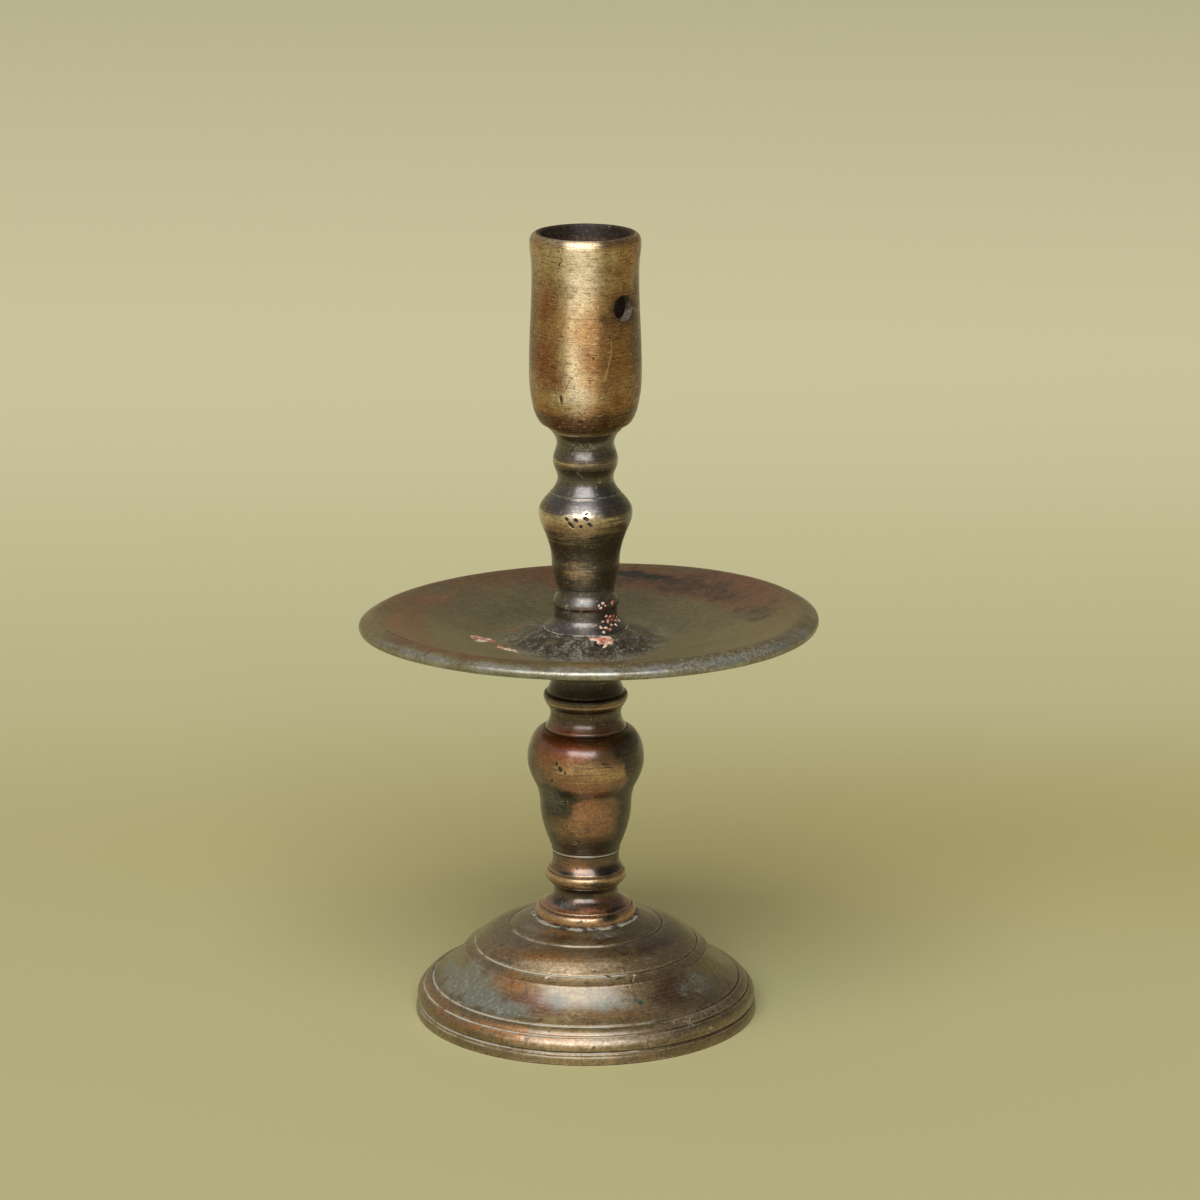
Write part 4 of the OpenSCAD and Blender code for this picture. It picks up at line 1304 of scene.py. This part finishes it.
# Rubbed gold on the knop and the vase; the patch at the front of the knop is partly a painted highlight
KNOP_RUBBED_AND_SHEEN = {
    "worn": (
        (130.6, 3.0, 0.6, 0.5), ((-104, 130.6), 11, 3.2, 0.4, 0.5), (126.6, 2.4, 0.3, 0.9),
        ((-104, 117.6), 5, 4, 0.5, 0.7), (145.6, 0.7, 0.45, 1.1),
    ),
}
# The dark patch at the right of the knop is painted shade on the side away from the light
UPPER_STEM_AGE = {
    "dark": (((-28, 130), 7, 6, 0.5, 0.8), (143.6, 1.2, 0.7), (122, 6, 0.5)),
    "copper": ((145.4, 1.2, 0.4, 0.8),),
    "red": ((145.2, 1.0, 0.3, 0.8), (108.2, 0.8, 0.35)),
    "bloom": (
        (137.4, 0.22, 0.45, 0.5), (113.2, 0.25, 0.3, 0.8), ((-130, 108, 8.2), 2.4, 2.6, 0.45, 1.0),
        ((-140, 103, 10.2), 2.4, 1.6, 0.45, 1.0), ((-80, 150.6), 7, 1.6, 0.42, 1.1),
    ),
}
UPPER_STEM_MARKS = (
    ((-107, 144.1), (-94, 142.2), 0.24), ((-98.4, 111), (-95.6, 110), 0.6),
    ((-120, 150.3), (-111, 150.9), 0.2), ((-70.6, 139.5), (-65.4, 140), 0.2),
    ((-82.4, 147.6), (-78.6, 149.2), 0.16), ((-92, 150.8), (-86, 151), 0.2),
    ((-128, 115.2), (-122, 115), 0.14), ((-84, 125.2), (-79, 124.8), 0.14),
    ((-110, 123), (-104, 123.2), 0.12),
)
# Short slanting notches on the knop: direction, height, length in mm and lean in degrees
NOTCHES = (
    (-113.4, 132.6, 1.1, -45), (-107.7, 131.2, 2.3, -50), (-101.5, 132.5, 1.4, -45), (-95.5, 131.0, 0.9, -60),
    (-89.3, 132.8, 1.7, -35), (-84.4, 131.4, 1.7, -40), (-88.7, 134.0, 0.5, -45),
)
NOTCH_WIDTH = 0.85
KNOP_R = 12.4


class CANDLESTICK_OT_upper_stem(bpy.types.Operator):
    """Add the upper stem: flange, beads, necks and knop"""

    bl_idname = "candlestick.upper_stem"
    bl_label = "Upper Stem"

    def execute(self, context):
        def interest(r, z, out, up):
            return np.where(r < 3.8, 0.12, 1.0)

        stem = turned_piece("upper_stem", 200, 0.27, 51, interest)
        stem.age(arris=0.3, groove=0.8)
        stem.masks["worn"] *= smooth_step(104, 112, stem.z)[:, None]
        stem.paint(KNOP_RUBBED_AND_SHEEN)
        # The rubbed bands fade out at the right, as painted shade on the side away from the light
        stem.masks["worn"] *= 0.3 + 0.7 * smooth_step(0.85, 0.1, np.cos(stem.angle))
        stem.paint(UPPER_STEM_AGE)
        notches = []
        for turn, z, length, lean in NOTCHES:
            # Each notch is in a rubbed spot
            stem.patch("worn", (turn, z), 0.8 + 0.5 * length, 0.7 + 0.5 * length, 0.8, 0.3)
            stem.dent((turn, z), 0.3 * length, 0.3 * length, 0.16, 0, 0.2)
            run = math.degrees(0.5 * length * math.cos(math.radians(lean)) / KNOP_R)
            climb = 0.5 * length * math.sin(math.radians(lean))
            notches.append(((turn - run, z - climb), (turn + run, z + climb), NOTCH_WIDTH))
        stem.scatter(60, 104, 152, 0.24, 0.08, 7)
        finish = dark_bronze(look(), stem.marks(UPPER_STEM_MARKS), stem.marks(notches))
        stem.piece("upper_baluster", finish, "dark_bronze")
        return {"FINISHED"}


# Pale rubbed brass at the front, which is also a painted highlight down the front of the cup; brown
# and red at the sides, partly tarnish and partly painted shade, darkest near the edges; and dark
# under the cup, as painted shade
SOCKET_AGE = {
    "worn": (
        ((-110, 195, 13.8), 13, 9, 1.2), ((-104, 183, 13.4), 7, 10, 0.2, 0.5),
        ((-108, 168, 14), 5, 11, 0.8, 0.5), ((-92, 162, 14.1), 8, 5, 0.5, 0.6),
    ),
    "copper": (
        ((-84, 180, 13.5), 5, 12, 0.35, 0.9), ((-140, 180, 13.5), 8, 24, 0.75),
        ((-40, 180, 13.5), 12, 26, 0.9), ((60, 180, 13.5), 16, 26, 0.7), (202, 1.4, 0.2, 1.2, 13.8),
        (159, 4, 0.5, 0.8),
    ),
    "red": (
        ((-142, 173, 13.5), 6, 10, 0.65, 0.6), ((-134, 188, 13.4), 4, 5, 0.5, 0.7),
        ((-60, 168, 13.8), 7, 9, 0.3, 0.8), ((-36, 196, 13.8), 6, 5, 0.3, 0.8),
        ((-112, 168, 14), 5, 3, 0.3, 0.8), ((80, 178, 13.6), 16, 14, 0.5, 0.8),
    ),
    "dark": (
        ((-30, 176, 13.6), 5, 22, 0.35, 0.8), ((-16, 180, 13.6), 4, 28, 0.75),
        ((-164, 180, 13.6), 4, 28, 0.7), ((-62, 178, 13.6), 2.5, 16, 0.3, 0.9),
        ((-71.3, 183.7), 2, 2, 0.6, 0.8),
        ((-112, 191, 13.6), 5, 2, 0.3, 0.9), ((-92, 176, 13.6), 3, 2.5, 0.35, 0.9), (156, 4.4, 0.9),
    ),
}
SOCKET_DENTS = (
    ((-115.6, 163.7), 0.65, 1.05, 0.2, 10, 0.5), ((-94.8, 157.9), 0.95, 0.5, 0.22, 30, 0.5),
    ((-118.2, 197.3), 0.35, 0.4, 0.16), ((-114.5, 197.1), 0.3, 0.3, 0.14),
)
SOCKET_LIGHT_MARKS = (
    ((-62.6, 178.6), (-62, 174.6), 0.3), ((-62.2, 175.6), (-67.4, 171), 0.5),
    ((-67, 171.6), (-70.6, 168), 0.8),
)
SOCKET_DARK_MARKS = (
    ((-121, 164.8), (-123.6, 167), 0.3), ((-125, 165.4), (-127, 167.4), 0.25),
    ((-116.4, 164.8), (-115, 162.2), 0.5),
    ((-97, 158.6), (-92.6, 157.2), 0.5), ((-99, 161), (-93, 159.4), 0.2), ((-83, 174.6), (-81, 173.8), 0.5),
    ((-90, 169), (-78, 168.6), 0.16), ((-110, 166.4), (-104, 169.6), 0.16),
    ((-118.4, 197.6), (-117.2, 196.8), 0.5),
)


class CANDLESTICK_OT_candle_socket(bpy.types.Operator):
    """Add the candle socket: a deep cup with a rolled lip and a push-out hole"""

    bl_idname = "candlestick.candle_socket"
    bl_label = "Candle Socket"

    def execute(self, context):
        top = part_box("candle_socket")[1].z / MM
        mount = next(each for each in frame["record"]["mounts"] if each["name"] == "push_out_hole")
        x, y, z = mount["pos_m"]
        turn, hole_r = math.atan2(y, x), mount["dims"]["r_mm"]

        def interest(r, z, out, up):
            inside = (out < -0.4) | ((up > 0.9) & (z < top - 3))
            return np.where(r < 3.6, 0.1, np.where(inside, 0.4, 1.0))

        socket = turned_piece("candle_socket", 256, 0.3, 61, interest)
        out, up = socket.facing.T
        socket.age(arris=0.3, groove=0.8)
        # The inside of the cup is darkened with soot, dirt and grey bloom and with painted shade, and the
        # inner lip is painted darkest, as painted shade
        inside = ((out < -0.4) | (up > 0.9)) & (socket.z < top - 0.5)
        for mask, more in (("dark", 0.9), ("grime_and_shade", 0.55), ("bloom", 0.3)):
            socket.masks[mask][inside] += more
        inner_lip = (out < 0.1) & (socket.z > top - 3)
        for mask, level in (("dark", 1.4), ("grime_and_shade", 0.7)):
            socket.masks[mask][inner_lip] = level
        socket.masks["worn"][inside | inner_lip] = 0
        socket.paint(SOCKET_AGE)
        socket.patch("dark", (math.degrees(turn), z / MM), hole_r * 1.5, hole_r * 1.45, 0.75)
        for dent in SOCKET_DENTS:
            socket.dent(*dent)
        socket.scatter(90, 156, 170, 0.28, 0.09, 9)
        socket.scatter(60, 170, 200, 0.22, 0.07, 10)
        finish = socket_brass(look(), socket.marks(SOCKET_LIGHT_MARKS), socket.marks(SOCKET_DARK_MARKS))
        drill(socket.piece("socket_cup", finish, "bright_brass"), turn, z, hole_r * MM)
        return {"FINISHED"}


# Length of the hole's tool, from the axis out through the wall
TOOL_LENGTH = 20 * MM


def drill(piece, turn, height, radius):
    """Cuts the push-out hole through one wall of the socket, and gives its wall light grey dirt."""
    mesh = piece.data
    old = kdtree.KDTree(len(mesh.vertices))
    for vertex in mesh.vertices:
        old.insert(vertex.co, vertex.index)
    old.balance()
    masks = {mask: np.zeros(len(mesh.vertices), np.float32) for mask in SOFT_MASKS}
    for mask, values in masks.items():
        mesh.attributes[mask].data.foreach_get("value", values)
    bore = built_mesh(
        "hole_tool", bmesh.ops.create_cone, cap_ends=True, segments=72, radius1=radius, radius2=radius,
        depth=TOOL_LENGTH,
    )
    for layer in ("OFBake", "Skin"):
        bore.uv_layers.new(name=layer)
    tool = added("hole_tool", bore)
    axis = Vector((math.cos(turn), math.sin(turn), 0))
    middle = Vector((0, 0, height))
    tool.rotation_euler = Euler((0, math.pi / 2, turn))
    tool.location = middle + axis * TOOL_LENGTH / 2
    cut = piece.modifiers.new("push_out_hole", "BOOLEAN")
    cut.operation, cut.solver, cut.object = "DIFFERENCE", "EXACT", tool
    bpy.context.view_layer.update()
    drilled = bpy.data.meshes.new_from_object(piece.evaluated_get(bpy.context.evaluated_depsgraph_get()))
    piece.modifiers.remove(cut)
    piece.data = drilled
    bpy.data.objects.remove(tool)
    nearest = [old.find(vertex.co)[1] for vertex in drilled.vertices]
    carried = {mask: values[nearest] for mask, values in masks.items()}
    for vertex in drilled.vertices:
        offset = vertex.co - middle
        ahead = offset.dot(axis)
        if ahead > 0 and (offset - axis * ahead).length < radius * 1.001:
            carried["bloom"][vertex.index] = 0.6
            carried["grime_and_shade"][vertex.index] = 0.3
    add_masks(drilled, carried)


def lumps(name, spots, seed, material):
    """One piece made of lumps. A spot is (place, normal, size, flat, stretch, roll), in mm and degrees."""
    rng = np.random.default_rng(seed)
    ball = built_mesh("ball", bmesh.ops.create_icosphere, subdivisions=3, radius=1.0)
    sphere = np.array([v.co for v in ball.vertices])
    faces = np.array([list(p.vertices) for p in ball.polygons])
    bpy.data.meshes.remove(ball)
    places = []
    for place, out, size, flat, stretch, roll in spots:
        bulge = 1 + 0.9 * rough_noise(sphere * 10, 9.0, int(rng.integers(1, 9999)))
        wide, tall = rng.uniform(0.75, 1.3), rng.uniform(0.75, 1.3)
        lump = sphere * bulge[:, None] * (wide * stretch * size, tall * size, flat * size)
        out = np.array(out)
        side = np.cross((0, 0, 1) if abs(out[2]) < 0.9 else (0, 1, 0), out)
        side /= np.linalg.norm(side)
        up = np.cross(out, side)
        cos, sin = math.cos(math.radians(roll)), math.sin(math.radians(roll))
        axes = np.stack([side * cos + up * sin, up * cos - side * sin, out])
        places.append(lump @ axes + place - out * 0.25 * size * flat)
    all_faces = np.concatenate([faces + i * len(sphere) for i in range(len(places))])
    mesh = bpy.data.meshes.new(name)
    mesh.from_pydata((np.concatenate(places) * MM).tolist(), [], all_faces.tolist())
    mesh.update()
    mesh.shade_smooth()
    placed(name, mesh, material)


def tree_of(name):
    """Search tree of a finished piece's surface."""
    mesh = bpy.data.objects[name].data
    return BVHTree.FromPolygons([v.co for v in mesh.vertices], [p.vertices for p in mesh.polygons])


def landed(tree, start, way):
    """Place in mm and normal where a straight way from a start in mm meets a surface."""
    place, normal, _, _ = tree.ray_cast(Vector(start) * MM, Vector(way))
    if place is None:
        raise RuntimeError("a crumb of wax misses the surface that should carry it")
    return tuple(place / MM), tuple(normal)


# Old wax on the pan: direction, radius, size, flatness, stretch and roll of each lump
SMEAR_BY_STEM = (
    (-81, 10.9, 0.6, 0.2, 2.2, 5), (-75, 11.1, 0.8, 0.25, 1.8, -10), (-69, 11.8, 1.1, 0.22, 1.3, 30),
    (-64, 11.5, 1.0, 0.3, 1.2, 0), (-59, 11.6, 0.8, 0.3, 1.4, -30), (-67, 12.9, 0.8, 0.2, 1.0, 60),
    (-61, 12.7, 0.6, 0.25, 1.0, 0), (-70, 13.7, 0.4, 0.3, 1.2, 40), (-56, 12.2, 0.5, 0.3, 1.0, 0),
)
SMEARS_AT_LEFT = (
    (-178, 27.6, 1.5, 0.06, 1.2, 20), (-174, 26.4, 1.6, 0.06, 1.3, -10), (-179, 25.2, 1.2, 0.06, 1.4, 0),
    (-171, 27.4, 0.9, 0.08, 1.3, 40), (-175, 23.8, 0.8, 0.08, 1.6, 10), (-162, 22.6, 1.2, 0.06, 1.3, -30),
    (-157, 21.8, 1.2, 0.06, 1.3, 10), (-152, 21.0, 0.8, 0.08, 1.5, 0), (-147, 20.8, 0.5, 0.1, 1.5, 0),
)
# Crumbs on the upper stem: direction, height and size of each
CRUMBS = (
    (-66, 109.4, 0.42), (-62, 108.8, 0.34), (-57, 109.8, 0.4), (-53, 109.2, 0.3), (-37, 109.4, 0.4),
    (-32, 109.7, 0.3), (-49, 106.1, 0.44), (-39, 105.9, 0.46), (-27, 105.6, 0.42), (-14, 105.0, 0.36),
    (-57, 105.0, 0.34), (-45, 104.9, 0.5), (-34, 104.9, 0.36), (-24, 104.4, 0.46), (-12, 104.0, 0.34),
    (-42, 103.9, 0.48), (-32, 103.7, 0.44), (-64, 103.8, 0.46), (-55, 103.6, 0.4), (-50, 103.1, 0.42),
    (-63, 102.9, 0.36), (-98, 107.9, 0.26), (-72, 104.4, 0.24),
)


class CANDLESTICK_OT_wax(bpy.types.Operator):
    """Add the crumbs and smears of old wax on the upper stem and the drip pan"""

    bl_idname = "candlestick.wax"
    bl_label = "Old Wax"

    def execute(self, context):
        rng = np.random.default_rng(71)
        wax = old_wax(look())
        stem, pan = tree_of("upper_baluster"), tree_of("pan_dish")
        crumbs = []
        for turn, z, size in CRUMBS:
            x, y = math.cos(math.radians(turn)), math.sin(math.radians(turn))
            spot = landed(stem, (40 * x, 40 * y, z), (-x, -y, 0))
            crumbs.append((*spot, size, 0.6, rng.uniform(1, 1.3), rng.uniform(0, 180)))
        lumps("wax_crumbs", crumbs, 72, wax)
        smears = []
        for turn, r, *shape in SMEAR_BY_STEM + SMEARS_AT_LEFT:
            x, y = math.cos(math.radians(turn)), math.sin(math.radians(turn))
            smears.append((*landed(pan, (r * x, r * y, 150), (0, 0, -1)), *shape))
        lumps("wax_smears", smears, 73, wax)
        return {"FINISHED"}


def dirt_ring(name, material, radius, height, wide, tall, seed, gaps=0.0):
    """Irregular ring of dirt that lies in a joint, with sizes in mm."""
    turn = 2 * np.pi * np.arange(420) / 420
    section = 2 * np.pi * np.arange(10)[:, None] / 10
    circle = np.stack([radius * np.cos(turn), radius * np.sin(turn), np.full(len(turn), height)], 1)
    swell = 0.7 + 0.7 * rough_noise(circle, 5.0, seed, 4)
    swell -= gaps * smooth_step(-0.1, 0.25, lattice_noise(circle, 7.0, seed + 9))
    swell = np.clip(swell, 0.1, 1.6)
    out = radius + wide * np.cos(section) * swell
    grid = np.stack([out * np.cos(turn), out * np.sin(turn), height + tall * np.sin(section) * swell], 2)
    grid += 0.1 * tall * rough_noise(grid, 1.4, seed + 3)[..., None]
    mesh = ring_mesh(name, grid)
    bm = bmesh.new()
    bm.from_mesh(mesh)
    bmesh.ops.recalc_face_normals(bm, faces=bm.faces)
    bm.to_mesh(mesh)
    bm.free()
    placed(name, mesh, material)


FLANGE_TOP = 106
SOCKET_TENON_R = 8.85


class CANDLESTICK_OT_joint_dirt(bpy.types.Operator):
    """Add the dirt packed into the joints between the turned pieces"""

    bl_idname = "candlestick.joint_dirt"
    bl_label = "Dirt in the Joints"

    def execute(self, context):
        foot_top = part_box("foot")[1].z / MM
        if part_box("upper_stem")[0].z / MM <= foot_top:
            raise RuntimeError("the upper stem starts below the top of the foot")
        socket_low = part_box("candle_socket")[0].z / MM
        stem = Turning("lower_stem", 8, 0.5, 1, 0.1)
        roll_r = stem.r[stem.row_near(foot_top + 0.3)]
        flange = Turning("upper_stem", 8, 0.5, 1, 0.1)
        flange_r = flange.r[flange.z < FLANGE_TOP].max()
        flange_z = flange.z[flange.r > flange_r - 0.1].min()
        dirt = joint_dirt(look())
        dirt_ring("foot_joint_dirt", dirt, roll_r + 0.5, foot_top + 0.05, 1.0, 0.45, 81)
        dirt_ring("pan_joint_dirt", dirt, flange_r, flange_z, 0.3, 0.22, 82, gaps=1.0)
        dirt_ring("socket_joint_dirt", dirt, SOCKET_TENON_R, socket_low + 0.05, 0.16, 0.16, 83, gaps=0.8)
        return {"FINISHED"}


# The studio

FLOOR_RADIUS = 7.0
FADE_FROM, FADE_TO = 0.0, 0.9
# Where the painted shadow lies on the floor behind the candlestick: its depth and reach, and how it grows
# towards the right
SHADOW_AT, SHADOW_REACH = 0.14, 0.15
SHADOW_FROM, SHADOW_TO = -0.3, 0.15
CAMERA_PLACE = (0.00364, -1.1007, 0.4038)
COOL_LIGHT = (0.97, 0.99, 1.0)


def add_camera(s):
    """Camera at the photograph's angle, fitted to it."""
    data = bpy.data.cameras.new("camera")
    data.sensor_width = 36.0
    data.lens = s.lens
    camera = added("camera", data)
    camera.location = CAMERA_PLACE
    camera.rotation_euler = (math.radians(90) - s.pitch, 0, 0)
    bpy.context.scene.camera = camera


def add_window(s):
    """Large soft lamp that no camera sees, aimed at the middle of the candlestick."""
    data = bpy.data.lights.new("window", "AREA")
    data.shape = "RECTANGLE"
    data.size, data.size_y = s.window_width, s.window_height
    data.energy = s.window
    data.color = COOL_LIGHT
    lamp = added("window", data)
    turn, rise = s.window_turn, s.window_rise
    way = Vector((math.cos(rise) * math.cos(turn), math.cos(rise) * math.sin(turn), math.sin(rise)))
    lamp.location = Vector((0, 0, (CAD_BOX[1].z + CAD_BOX[0].z) / 2)) + way * s.window_distance
    lamp.rotation_euler = (-way).to_track_quat("-Z", "Y").to_euler()
    lamp.visible_camera = False


def add_floor(s):
    """Plain pale floor, lighter far behind, where less light reaches it, and with a painted shadow just
    behind the candlestick, stronger at the right.
    """
    floor = added("floor", built_mesh(
        "floor", bmesh.ops.create_circle, cap_ends=True, segments=128, radius=FLOOR_RADIUS,
    ))
    material = bpy.data.materials.new("pale_floor")
    material.use_nodes = True
    floor.data.materials.append(material)
    g = Graph(material.node_tree)
    across, depth, _ = g.parts(g.place())
    colour = g.blend(g.rise(depth, FADE_FROM, FADE_TO), s.floor, s.far_floor)
    # Painted shadow of the candlestick on the floor just behind it, stronger towards the right
    beyond = g.math("ABSOLUTE", g.minus(depth, SHADOW_AT))
    bent = g.times(g.rise(beyond, SHADOW_REACH, 0.0), g.rise(across, SHADOW_FROM, SHADOW_TO, 0.15, 0.6))
    g.fill(g.tree.nodes["Principled BSDF"].inputs, {
        "Base Color": g.blend(bent, colour, s.shadow_floor), "Roughness": 0.9, "Specular IOR Level": 0.2,
    })


def soft_room(s):
    """World that is lit from above, and from the sides in another colour."""
    world = bpy.data.worlds.new("soft_room")
    world.use_nodes = True
    g = Graph(world.node_tree)
    x, _, z = g.parts(g.add("TexCoord").outputs["Generated"])
    high = g.rise(z, 0.2, 0.5)
    above = g.rise(x, -0.7, 0.7, s.left_level, s.right_level)
    level = g.rise(x, -0.7, 0.7, s.horizon_left, s.horizon_right)
    g.fill(g.tree.nodes["Background"].inputs, {
        "Color": g.blend(high, s.horizon, s.sky), "Strength": g.mix(high, level, above),
    })
    return world


class CANDLESTICK_OT_studio(bpy.types.Operator):
    """Add the plain pale floor, the soft lamp and the camera"""

    bl_idname = "candlestick.studio"
    bl_label = "Studio"

    def execute(self, context):
        for add in (add_floor, add_window, add_camera):
            add(studio())
        context.scene.world = soft_room(studio())
        context.scene.view_settings.view_transform = "Standard"
        return {"FINISHED"}


OPERATORS = (
    CANDLESTICK_OT_foot,
    CANDLESTICK_OT_fixings,
    CANDLESTICK_OT_lower_stem,
    CANDLESTICK_OT_drip_pan,
    CANDLESTICK_OT_upper_stem,
    CANDLESTICK_OT_candle_socket,
    CANDLESTICK_OT_wax,
    CANDLESTICK_OT_joint_dirt,
    CANDLESTICK_OT_studio,
)


class CANDLESTICK_PT_panel(bpy.types.Panel):
    """The pieces of the candlestick, in the order in which they are put together"""

    bl_label = "Candlestick"
    bl_space_type = "VIEW_3D"
    bl_region_type = "UI"
    bl_category = "Candlestick"

    def draw(self, context):
        for operator in OPERATORS:
            self.layout.operator(operator.bl_idname)
        for name, kind in PROPERTY_GROUPS.items():
            box = self.layout.box()
            for key in kind.__annotations__:
                box.prop(getattr(context.scene, name), key)


PROPERTY_GROUPS = {
    "candlestick_wear": CandlestickWear,
    "candlestick_finish": CandlestickFinish,
    "candlestick_studio": CandlestickStudio,
}
CLASSES = (*PROPERTY_GROUPS.values(), *OPERATORS, CANDLESTICK_PT_panel)


def register():
    for each in CLASSES:
        bpy.utils.register_class(each)
    for name, group in PROPERTY_GROUPS.items():
        setattr(bpy.types.Scene, name, PointerProperty(type=group))


def unregister():
    for name in PROPERTY_GROUPS:
        delattr(bpy.types.Scene, name)
    for each in reversed(CLASSES):
        bpy.utils.unregister_class(each)


def main():
    """Registers the add-on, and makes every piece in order."""
    register()
    bpy.ops.candlestick.foot()
    bpy.ops.candlestick.fixings()
    bpy.ops.candlestick.lower_stem()
    bpy.ops.candlestick.drip_pan()
    bpy.ops.candlestick.upper_stem()
    bpy.ops.candlestick.candle_socket()
    bpy.ops.candlestick.wax()
    bpy.ops.candlestick.joint_dirt()
    bpy.ops.candlestick.studio()


if __name__ == "__main__":
    main()
